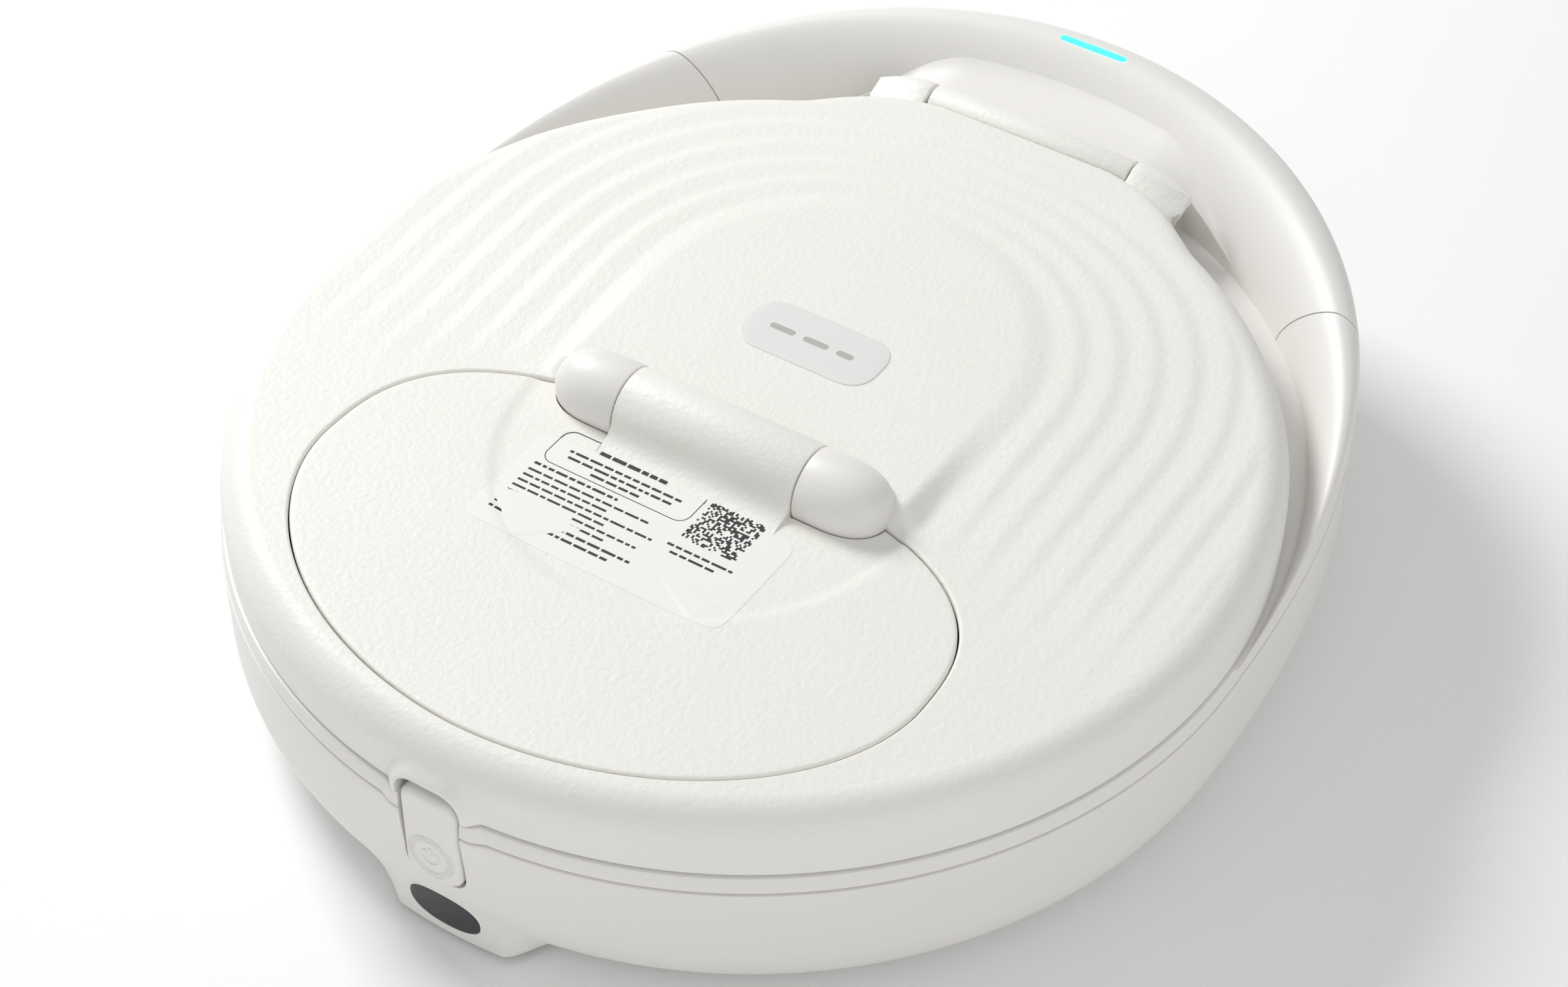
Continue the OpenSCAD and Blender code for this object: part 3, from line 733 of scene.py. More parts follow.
@dataclass
class Housing:
    """Lower housing with its leaning front pad, and the upper housing with band, deck and well."""

    wall: float = 2.6
    rounding: float = 26.0
    foot: float = 3.0
    well_r: float = 146.0
    well_floor: float = 34.4
    latch_half: float = 10.7
    jack_r: float = 6.6
    jack_z: float = 30.0
    jack_angle: float = 73.5
    angles: np.ndarray = field(default_factory=lambda: np.radians(np.concatenate([
        np.arange(-74.0, 254.0, 0.5), np.arange(254.0, 286.0, 0.1)])))

    def pad_front(self, z: np.ndarray) -> np.ndarray:
        """Radius of the leaning front pad at height z."""
        return 163.9 - (HOUSING_TOP - z) * 0.08

    def radius(self, z: np.ndarray) -> np.ndarray:
        """Plan radius at every angle for heights z: a rounded drum that blends into the pad.

        The pad's share falls from one to nought over a band of angles that widens downwards.

        Args:
            z: heights.

        Returns:
            (heights, angles) radii.
        """
        a, z = self.angles[None, :], np.asarray(z, float).reshape(-1, 1)
        t = np.maximum(self.rounding - (z - self.foot), 0.0)
        r = plan_radius(a) - (self.rounding - np.sqrt(self.rounding ** 2 - t ** 2))
        drop = (SEAM - z) / 57.0
        full, none = 4.5 + 1.9 * drop, 6.0 + 7.6 * drop
        away = np.abs(270.0 - np.degrees(a) % 360.0)
        share = smooth((none - away) / (none - full))
        return np.maximum(r, r + (self.pad_front(z) - r) * share)

    def ring_rows(self, r: np.ndarray, z: np.ndarray) -> np.ndarray:
        """Rows of points from radii (rows, angles) and heights (rows)."""
        z = np.asarray(z, float).reshape(-1, 1)
        return np.stack([r * np.cos(self.angles), r * np.sin(self.angles),
                         np.broadcast_to(z, r.shape)], axis=-1)

    def latch_hole(self) -> bpy.types.Object:
        """Cutter for the latch recess: a rounded rectangle carried along Y."""
        outline = rounded_rectangle(2 * self.latch_half, 46.0, 6.0, 96) + [0.0, 52.6]
        return prism_cutter(outline, (-190.0, -151.0), along_y=True)

    def lower(self) -> bpy.types.Object:
        """Lower shell: outside up through the rounding, over the rim, and down the inside.

        Returns:
            The shell, with its latch recess, vent and power inlet cut.
        """
        q = np.radians(np.linspace(0.0, 90.0, 20))
        up = np.concatenate([self.foot + self.rounding * (1 - np.cos(q)),
                             np.linspace(30.0, HOUSING_TOP - 0.5, 12)])
        outer = self.radius(up)
        rim_z = np.array([HOUSING_TOP - 0.15, HOUSING_TOP])
        rim = self.radius(rim_z) - np.array([[0.15], [0.5]])
        down = np.concatenate([[HOUSING_TOP], up[::-3], [self.foot]])
        inner = self.radius(down) - self.wall
        rows = self.ring_rows(np.vstack([outer, rim, inner]), np.concatenate([up, rim_z, down]))
        shell = loop_skin("lower_shell_skin", rows)
        bore = np.array([[190.0, self.jack_r], [230.0, self.jack_r]])
        jack = capped_loft("cutter", rod_rows(bore, 0.0, self.jack_z, 48))
        jack.data.transform(Matrix.Translation((0, -SHIFT_Y * MM, 0)))
        jack.data.transform(Matrix.Rotation(math.radians(self.jack_angle), 4, "Z"))
        jack.data.transform(Matrix.Translation((0, SHIFT_Y * MM, 0)))
        vent = box_cutter((-28, 200, 20), (28, 230, 44))
        return cut(shell, self.latch_hole(), vent, jack)

    def upper(self) -> bpy.types.Object:
        """Upper housing: tapered band, deck, food well and the underside back to the band.

        Returns:
            The housing, with its latch recess cut.
        """
        outer_z = np.array([BAND_FOOT, BAND_FOOT + 0.4, 55.5, 57.5, DECK - 0.4, DECK - 0.1, DECK])
        outer_in = np.array([0.8, 0.35, 0.5, 0.85, 1.15, 1.3, 1.7]).reshape(-1, 1)
        outer = self.radius(outer_z) - outer_in
        flat = np.ones_like(self.angles)
        well = [(155.0, DECK), (self.well_r + 0.8, DECK), (self.well_r, DECK - 0.8),
                (self.well_r, self.well_floor + 2.0), (self.well_r - 2.0, self.well_floor),
                (60.0, self.well_floor), (9.0, self.well_floor), (9.0, 32.0), (60.0, 32.0),
                (self.well_r + 2.4, 32.0), (self.well_r + 2.4, BAND_FOOT), (155.0, BAND_FOOT)]
        r = np.vstack([outer] + [flat[None, :] * w[0] for w in well])
        z = np.concatenate([outer_z, [w[1] for w in well]])
        return cut(loop_skin("upper_housing_skin", self.ring_rows(r, z)), self.latch_hole())

    def build(self, finishes: Finishes) -> None:
        """Builds and dresses the housing's mouldings."""
        finishes.dress(self.lower(), "body_satin", "base", "lower_shell")
        finishes.dress(self.upper(), "body_satin", "base", "upper_housing", "food_well")


@dataclass
class RearArch:
    """Raised rear arch: two shoulders and a cap, parted at an upright plane, with its light."""

    rise: float = 31.5
    crest_r: float = 15.2
    edge_r: float = 0.25
    foot_r: float = 161.9
    foot_share: float = 0.36
    valley_y: float = 186.0
    parting_y: float = 140.0
    gap: float = 0.22

    def measures(self, s: float) -> tuple:
        """Outer radius, crest radius, crest height and foot radius where the angle's sine is s.

        Args:
            s: sine of the angle about the axis.

        Returns:
            The four lengths.
        """
        swell = REACH * s * s
        return (DRUM_R + swell, self.edge_r + (self.crest_r - self.edge_r) * s ** 2.8,
                SEAM + self.rise * s ** 1.6, self.foot_r + self.foot_share * swell)

    def slope_y(self, x: float, z: float) -> float:
        """Y where the inner slope behind the hinge stands at height z, for a place x across.

        Args:
            x: place across.
            z: height.

        Returns:
            Y from the axis.
        """
        outer, crest_r, crest, foot = self.measures(math.sin(math.atan2(self.valley_y, abs(x))))
        rise = min(max((z - DECK) / (crest - DECK), 0.0), 1.0) ** 0.75
        r = foot + (outer - crest_r - foot) * (1 - (1 - rise ** 2) ** (2 / 3))
        return math.sqrt(r * r - x * x)

    def section(self, a: float) -> np.ndarray:
        """Closed section in the radial plane at angle a.

        Upright outer wall, a quarter circle over the crest, then an inner slope that follows a
        quarter superellipse of exponent one and a half down to the valley.

        Args:
            a: angle about the axis, from +X.

        Returns:
            (n, 3) points.
        """
        r0, t, top, foot = self.measures(math.sin(a))
        q = np.radians(np.linspace(0.0, 90.0, 16))
        over = np.column_stack([r0 - t * (1 - np.cos(q)), top - t * (1 - np.sin(q))])
        across = r0 - t - foot
        v = np.radians(np.linspace(0.0, 90.0, 30))[1:]
        slope = np.column_stack([foot + across * (1 - np.sin(v) ** (4 / 3)),
                                 DECK + (top - DECK) * np.maximum(np.cos(v), 0) ** (4 / 3)])
        p = np.vstack([[[r0, DECK]], over, slope])
        return np.column_stack([p[:, 0] * math.cos(a), p[:, 0] * math.sin(a), p[:, 1]])

    def loft(self, name: str) -> bpy.types.Object:
        """The whole arch before it is parted."""
        return capped_loft(name, np.array([self.section(a) for a in
                                           np.radians(np.linspace(2.0, 178.0, 353))]))

    def light_y(self) -> float:
        """Y of the crest at the back."""
        return DRUM_R + REACH - self.crest_r

    def build(self, finishes: Finishes) -> None:
        """Builds shoulders, cap and light bar.

        Args:
            finishes: the feeder's finishes.
        """
        shoulders = cut(self.loft("arch_shoulder_skin"),
                        box_cutter((-300, self.parting_y - self.gap, 0), (300, 300, 200)))
        finishes.dress(shoulders, "body_satin", "base", "arch_shoulders")
        slot_outline = rounded_rectangle(25.4, 2.9, 1.44, 64, e=2.0) + [0.0, self.light_y()]
        crest = SEAM + self.rise
        slot = prism_cutter(slot_outline, (crest - 5.0, crest + 5.0))
        cap = cut(self.loft("arch_cap_skin"),
                  box_cutter((-300, -10, 0), (300, self.parting_y + self.gap, 200)), slot)
        finishes.dress(cap, "body_satin", "base", "arch_cap")
        bar_outline = rounded_rectangle(25.2, 2.7, 1.34, 64, e=2.0) + [0.0, self.light_y()]
        bar_rim = np.array([[0.0, 4.0], [0.0, 0.35], [0.12, 0.1], [0.4, 0.0]])
        bar = plate("light_bar_guide", bar_outline, bar_rim,
                    lambda x, y: crest - 0.0007 * x ** 2 - 0.1, rings=3)
        finishes.dress(bar, "light_diffuser", "base", "light_bar")


def rim_profile(thickness: float, r: float) -> np.ndarray:
    """Rim of a slab from its underside up a straight edge and over a quarter round.

    Args:
        thickness: height of the slab.
        r: radius of the round.

    Returns:
        (k, 2) points, as (drawn in, height below top).
    """
    q = np.radians(np.linspace(0.0, 90.0, 6))
    over = np.column_stack([r * (1 - np.cos(q)), r * (1 - np.sin(q))])
    return np.vstack([[[0.0, thickness]], over])


def cap_dome(grow: float) -> np.ndarray:
    """(x, radius) pairs of a hinge cap's dome, grown by some mm: exponent 2.3 superellipse."""
    u = np.linspace(0.0, 1.0, 28)[:-1]
    return np.column_stack([41.0 + (17.5 + grow) * np.sin(u * np.pi / 2),
                            (BARREL_R + grow) * (1 - np.sin(u * np.pi / 2) ** 2.3) ** (1 / 2.3)])


@dataclass
class Cover:
    """Top cover: rolled opening for the flap, plateau with ripples, round shoulder and hood."""

    edge_r: float = 160.6
    shoulder_r: float = 10.0
    wall: float = 2.6
    plateau: float = 5.3
    plateau_back: float = 40.0
    plateau_front: float = -24.0
    ripple_pitch: float = 11.8
    ripple_height_mm: float = 0.5
    latch_arch_half: float = 11.2
    latch_arch_top: float = 69.0
    latch_arch_corner: float = 8.0
    stations: int = 620
    rings: int = 96

    def ripple_height(self, x: np.ndarray, y: np.ndarray, away: np.ndarray) -> np.ndarray:
        """Height above the flat top.

        A plateau with a soft edge, then a falling ramp with waves. Distance is measured from a
        line on the middle plane; the waves' pitch shortens straight to the back, and the waves
        and the ramp fade towards the front.

        Args:
            x: across.
            y: along.
            away: share of the way from the flap's opening to the shoulder.

        Returns:
            Heights, one for each place.
        """
        back, front = self.plateau_back, self.plateau_front
        beyond = np.where(y > back, y - back, np.where(y < front, y - front, 0.0))
        d = np.hypot(x, beyond)
        turn = np.arctan2(np.maximum(y - 38.0, 0.0), np.abs(x) + 1e-6)
        pitch = self.ripple_pitch - 3.0 * np.sin(turn) ** 4
        s = (d - 64.0) / pitch
        wave = 0.5 * np.cos(2 * np.pi * s) + 0.14 * np.sin(4 * np.pi * s)
        edge = smooth((d - 60.0) / 7.0)
        ramp = np.maximum(self.plateau - 0.9 - 0.035 * (d - 66.0), 0.0)
        fade_ramp = smooth((y + 26.0) / 62.0)
        fade_wave = smooth((y + 60.0) / 100.0) * smooth(away / 0.25)
        flat = self.plateau * (1 - edge) * smooth((y + 19.0) / 8.0)
        ripples = self.ripple_height_mm * wave * fade_wave * smooth((d - 62.0) / 6.0)
        return flat + edge * (ramp * fade_ramp + ripples)

    def top(self, x: np.ndarray, y: np.ndarray, away: np.ndarray) -> np.ndarray:
        """Height of the upper face: flat, rising a little to the front, plus the ripples."""
        return flat_top(y) + self.ripple_height(x, y, away)

    def hood_swell(self, x: np.ndarray, z: np.ndarray, front: np.ndarray) -> np.ndarray:
        """Outward swelling round the latch's arched opening, by distance from its outline.

        Args:
            x: across.
            z: height.
            front: True on the front half of the cover.

        Returns:
            Push outwards at each point.
        """
        corner = self.latch_arch_corner
        px = np.abs(x) - (self.latch_arch_half - corner)
        pz = z - (self.latch_arch_top - corner)
        away = np.hypot(np.maximum(px, 0.0), np.maximum(pz, 0.0)) - corner
        return np.where(front, 3.1 * smooth(1.0 - (away - 0.6) / 5.0), 0.0)

    def hinge_land(self, rim: np.ndarray, outward: np.ndarray) -> tuple:
        """Where the cover meets the rear hinge its shoulder turns square and its edge straight.

        Args:
            rim: (n, 2) points where the shoulder starts.
            outward: (n, 2) unit directions away from the axis.

        Returns:
            Share of squareness, and how far the edge is pushed out, at each point.
        """
        square = smooth((72.0 - np.abs(rim[:, 0])) / 34.0) * (rim[:, 1] > 0)
        straight = self.edge_r / np.maximum(outward[:, 1], 0.5) - self.edge_r
        return square, square * np.minimum(straight, 3.2)

    def skin(self) -> bpy.types.Object:
        """Closed skin: rows run from the opening's rim, over the top, down the wall and back.

        Returns:
            The skin before its cuts.
        """
        hole = flap_outline(0.5, self.stations)
        hole[:, 1] = np.minimum(hole[:, 1], -16.6)
        start_r = self.edge_r - self.shoulder_r
        centre = np.array([0.0, FLAP_Y])
        ray = hole - centre
        ray /= np.linalg.norm(ray, axis=1, keepdims=True)
        along = -(ray @ centre)
        far = along + np.sqrt(along ** 2 - (centre @ centre - start_r ** 2))
        rim_out = centre + ray * far[:, None]
        outward = rim_out / np.linalg.norm(rim_out, axis=1, keepdims=True)
        top_rows, zero = [], np.zeros(self.stations)
        q = np.radians(np.linspace(0.0, 90.0, 6))
        for k in range(6):
            p = hole + ray * (0.9 * (1 - math.cos(q[k])))
            z = self.top(p[:, 0], p[:, 1], zero) - 0.9 * (1 - math.sin(q[k]))
            top_rows.append(np.column_stack([p, z]))
        rim = hole + ray * 0.9
        for t in np.linspace(0.0, 1.0, self.rings)[1:]:
            p = rim + (rim_out - rim) * t
            top_rows.append(np.column_stack([p, self.top(p[:, 0], p[:, 1], np.full(len(p), t))]))
        edge_z = top_rows[-1][:, 2]
        front = rim_out[:, 1] < 0
        square, reach = self.hinge_land(rim_out, outward)
        for b in np.radians(np.linspace(0.0, 90.0, 21))[1:]:
            power = 2.0 / (2.0 + 5.0 * square)
            out = np.maximum(math.sin(b), 0.0) ** power
            z = edge_z - (edge_z - 71.0) * (1 - max(math.cos(b), 0.0) ** power)
            p = rim_out + outward * ((self.shoulder_r + reach) * out)[:, None]
            top_rows.append(np.column_stack([p, z]))
        for z in np.concatenate([np.linspace(70.5, SEAM + 0.5, 18), [SEAM + 0.12, SEAM]]):
            draw = 0.0 if z > SEAM + 0.4 else (0.15 if z > SEAM + 0.05 else 0.5)
            p = rim_out + outward * (self.shoulder_r + reach - draw)[:, None]
            top_rows.append(lay_at(p, z))
        rows = np.array(top_rows)
        steep = slice(len(rows) - 40, len(rows))
        swell = self.hood_swell(rows[steep, :, 0], rows[steep, :, 2],
                                np.broadcast_to(front, rows[steep].shape[:2]))
        rows[steep, :, :2] += outward[None] * swell[..., None]
        under = []
        for z, draw in ((SEAM, self.wall), (70.0, self.wall), (74.0, self.wall + 1.5),
                        (76.6, self.wall + 4.0)):
            p = rim_out + outward * (self.shoulder_r + reach - draw)[:, None]
            under.append(lay_at(p, z))
        for t in np.linspace(1.0, 0.0, 14):
            p = hole + (rim_out - hole) * t
            z = self.top(p[:, 0], p[:, 1], np.full(len(p), t)) - self.wall
            under.append(np.column_stack([p, z]))
        return loop_skin("cover_skin", np.vstack([rows, np.array(under)]), smooth_angle=50.0)

    def latch_arch(self) -> bpy.types.Object:
        """Cutter for the hood's arched opening."""
        outline = rounded_rectangle(22.6, 30.0, 8.0, 96, e=2.2) + [0.0, 54.2]
        return prism_cutter(outline, (-190.0, -153.0), along_y=True)

    def knuckles(self) -> bpy.types.Object:
        """Two tongues behind the cover that end in a round eye, with rounded sides.

        Returns:
            Both knuckles as one piece.
        """
        y, z = REAR_AXIS
        eye = arc(y, z, 6.2, 108.0, -100.0, 30)
        t = np.linspace(0.0, 1.0, 12)[:-1, None]
        start, bend = np.array([148.0, 80.6]), np.array([157.0, 80.9])
        ramp = quadratic(start, bend, eye[0], t)
        outline = resample(np.vstack([[[148.0, 72.0]], ramp, eye, [[158.0, 71.0]]]), 140)
        maker = MeshMaker()
        for side in (-1, 1):
            rows = []
            for x, d in ((38.4, 0.5), (38.6, 0.15), (39.0, 0.0), (42.0, 0.05), (46.0, 0.5),
                         (50.0, 1.3), (54.0, 2.5), (57.0, 3.7), (59.0, 4.6)):
                ring = inset(outline[::-1], d)
                rows.append(stand_at(ring, side * x))
            maker.solid(np.array(rows if side > 0 else rows[::-1]))
        return maker.build("cover_knuckles")

    def hinge_caps(self) -> bpy.types.Object:
        """Two domed caps: a straight bar whose end follows a superellipse of exponent 2.3.

        Returns:
            Both caps as one piece.
        """
        maker = MeshMaker()
        x_r = np.vstack([[[32.35, BARREL_R - 0.6], [32.5, BARREL_R - 0.15], [32.9, BARREL_R]],
                         cap_dome(0.0)])
        for side in (-1, 1):
            maker.solid(rod_rows(x_r * [side, 1], *FLAP_AXIS), [side * 32.35, *FLAP_AXIS],
                        [side * 58.5, *FLAP_AXIS], flip=side < 0)
        return maker.build("hinge_cap_domes")

    def badge(self, finishes: Finishes) -> None:
        """Inlaid badge with rounded rim and three plain pad-printed bars.

        Args:
            finishes: the feeder's finishes.
        """
        outline = rounded_rectangle(48.0, 23.0, 10.0, 160) + [0.0, 33.0]
        plaque = plate("badge_inlay", outline, rim_profile(0.9, 0.3),
                       lambda x, y: PLATEAU + 0.32 + 0 * x * y, rings=6)
        finishes.dress(plaque, "badge_satin", "cover", "badge_plate")
        maker = MeshMaker()
        for x, w in ((-11.5, 9.0), (0.5, 9.0), (11.0, 6.0)):
            ring = rounded_rectangle(w, 2.4, 1.19, 40, e=2.0) + [x, 33.0]
            maker.solid(np.array([lay_at(ring, PLATEAU + h) for h in (0.3, 0.35)]))
        finishes.dress(maker.build("badge_bars"), "mark_ink", "cover")

    def build(self, finishes: Finishes) -> None:
        """Builds the cover, its hinge parts and its badge.

        Args:
            finishes: the feeder's finishes.
        """
        ends = np.array([[-32.3, BARREL_R + 0.5], [32.3, BARREL_R + 0.5]])
        trough = capped_loft("cutter", rod_rows(ends, *FLAP_AXIS))
        rear = capped_loft("cutter", rod_rows(np.array([[-38.2, 6.9], [38.2, 6.9]]), *REAR_AXIS))
        skin = cut(self.skin(), trough, rear, self.latch_arch(), angle=38.0)
        finishes.dress(skin, "cover_grain", "cover", "cover_shell", "cover_skirt")
        finishes.dress(self.knuckles(), "cover_grain", "cover")
        finishes.dress(self.hinge_caps(), "body_satin", "cover", "hinge_caps")
        self.badge(finishes)


@dataclass
class Flap:
    """Feeding flap: a slab with a shallow dish, its hinge barrel, and a printed label."""

    thickness: float = 2.6
    dish: float = 0.7
    barrel_half: float = 31.8
    stations: int = 720

    def top(self, x: np.ndarray, y: np.ndarray) -> np.ndarray:
        """Upper face: flat, rising a little to the front, with an oval dish below the hinge."""
        q = np.sqrt((x / 66.0) ** 2 + ((y + 20.0) / 69.0) ** 2)
        return flat_top(y) - self.dish * smooth((1.03 - q) / 0.07)

    def slab(self) -> bpy.types.Object:
        """The slab with rolled rims.

        Returns:
            The slab, cut clear of the hinge caps.
        """
        outline = flap_outline(0.0, self.stations)
        outline[:, 1] = np.minimum(outline[:, 1], -17.1)
        outline = resample(outline, self.stations)
        rows, centre = [], np.array([0.0, FLAP_Y])
        for d, drop in rim_profile(self.thickness, 0.9):
            ring = outline + (centre - outline) * (d / 75.0)
            rows.append(np.column_stack([ring, self.top(ring[:, 0], ring[:, 1]) - drop]))
        inner = rows[-1][:, :2]
        for t in np.linspace(0.0, 1.0, 70)[1:-1]:
            ring = inner + (centre - inner) * t
            rows.append(np.column_stack([ring, self.top(ring[:, 0], ring[:, 1])]))
        maker = MeshMaker()
        maker.solid(np.array(rows), [*centre, TOP - self.thickness],
                    [*centre, float(self.top(*centre))])
        slab = maker.build("flap_slab")
        x_r = np.vstack([[[31.9, BARREL_R + 0.45]], cap_dome(0.45)])
        right = capped_loft("cutter", rod_rows(x_r, *FLAP_AXIS))
        left = capped_loft("cutter", rod_rows(x_r * [-1, 1], *FLAP_AXIS))
        return cut(slab, left, right)

    def barrel(self) -> bpy.types.Object:
        """Hinge barrel with a foot that flows into the slab.

        A quadratic curve leads from the slab to the barrel's front, then a circle goes over the
        top and round underneath.

        Returns:
            The barrel.
        """
        y, z = FLAP_AXIS
        t = np.linspace(0.0, 1.0, 14)[:, None]
        tip = arc(y, z, BARREL_R, 166.0, 166.0, 1)[0]
        low = float(self.top(0.0, -39.0))
        start, bend = np.array([-39.0, low - 0.02]), np.array([-30.6, low + 0.05])
        foot = quadratic(start, bend, tip, t)
        round_part = arc(y, z, BARREL_R, 166.0, -140.0, 72)[1:]
        outline = np.vstack([foot, round_part, [[-34.0, TOP - 2.2], [-39.0, TOP - 1.8]]])
        rows = []
        half = self.barrel_half
        for x, d in ((-half, 0.55), (-half + 0.15, 0.15), (-half + 0.55, 0.0), (0.0, 0.0),
                     (half - 0.55, 0.0), (half - 0.15, 0.15), (half, 0.55)):
            ring = np.array([y, z]) + (outline - [y, z]) * (1 - d / BARREL_R)
            rows.append(stand_at(ring, x))
        maker = MeshMaker()
        maker.solid(np.array(rows), [-half, y, z], [half, y, z])
        return maker.build("flap_barrel")

    def print_marks(self) -> bpy.types.Object:
        """Plain printed bars, a framed panel and a square of random cells, all seeded.

        Returns:
            All the printing as one piece.
        """
        random = np.random.default_rng(7)
        maker = MeshMaker()

        def bar(x0: float, x1: float, y0: float, y1: float) -> None:
            """One printed bar, a hair above the film."""
            ring = np.array([[x0, y0], [x1, y0], [x1, y1], [x0, y1]])
            z = self.top(ring[:, 0], ring[:, 1]) + 0.14
            maker.solid(np.array([np.column_stack([ring, h]) for h in (z - 0.05, z)]))

        def words(x0: float, x1: float, y: float, h: float) -> None:
            """A line of bars with random lengths, as words stand in a line."""
            x = x0
            while x < x1 - 1.0:
                length = min(random.uniform(1.3, 5.2), x1 - x)
                bar(x, x + length, y, y + h)
                x += length + 0.75

        words(-30.0, -6.0, -38.2, 1.7)
        for k, (a, b) in enumerate(((-38.0, 2.0), (-37.0, 1.0), (-27.0, -9.0))):
            words(a, b, -42.2 - 2.6 * k, 0.95)
        words(-44.0, -14.0, -52.0, 1.0)
        for k, reach in enumerate((0.0, -14.0, 4.0, -10.0, 2.0, -6.0)):
            words(-44.0, reach, -55.0 - 2.65 * k, 0.85)
        words(-44.0, 4.0, -71.6, 1.0)
        words(-44.0, -2.0, -74.4, 1.0)
        words(8.5, 31.0, -58.6, 0.9)
        words(11.0, 28.0, -61.2, 0.9)
        cell = 19.1 / 27
        on = random.random((27, 27)) < 0.48
        for row, column in zip(*np.nonzero(on)):
            bar(10.0 + column * cell, 10.0 + (column + 0.98) * cell,
                -54.2 + row * cell, -54.2 + (row + 0.98) * cell)
        frame_outline = rounded_rectangle(52.0, 15.5, 4.0, 120, e=2.0) + [-18.0, -41.6]
        ring_rows = []
        for d, up in ((0.0, 0.09), (0.0, 0.14), (0.28, 0.14), (0.28, 0.09)):
            ring = inset(frame_outline, d)
            ring_rows.append(np.column_stack([ring, self.top(ring[:, 0], ring[:, 1]) + up]))
        maker.grid(np.array(ring_rows), wrap_v=True)
        return maker.build("label_print")

    def build(self, finishes: Finishes) -> None:
        """Builds the flap, its barrel and its label.

        Args:
            finishes: the feeder's finishes.
        """
        finishes.dress(self.slab(), "cover_grain", "flap", "feeding_flap")
        finishes.dress(self.barrel(), "cover_grain", "flap")
        outline = rounded_rectangle(90.0, 42.0, 5.0, 360) + [-4.0, -59.8]
        film = plate("label_film", outline, rim_profile(0.3, 0.05),
                     lambda x, y: self.top(x, y) + 0.1, rings=70)
        finishes.dress(film, "label_film", "flap", "flap_label")
        finishes.dress(self.print_marks(), "print_ink", "flap")


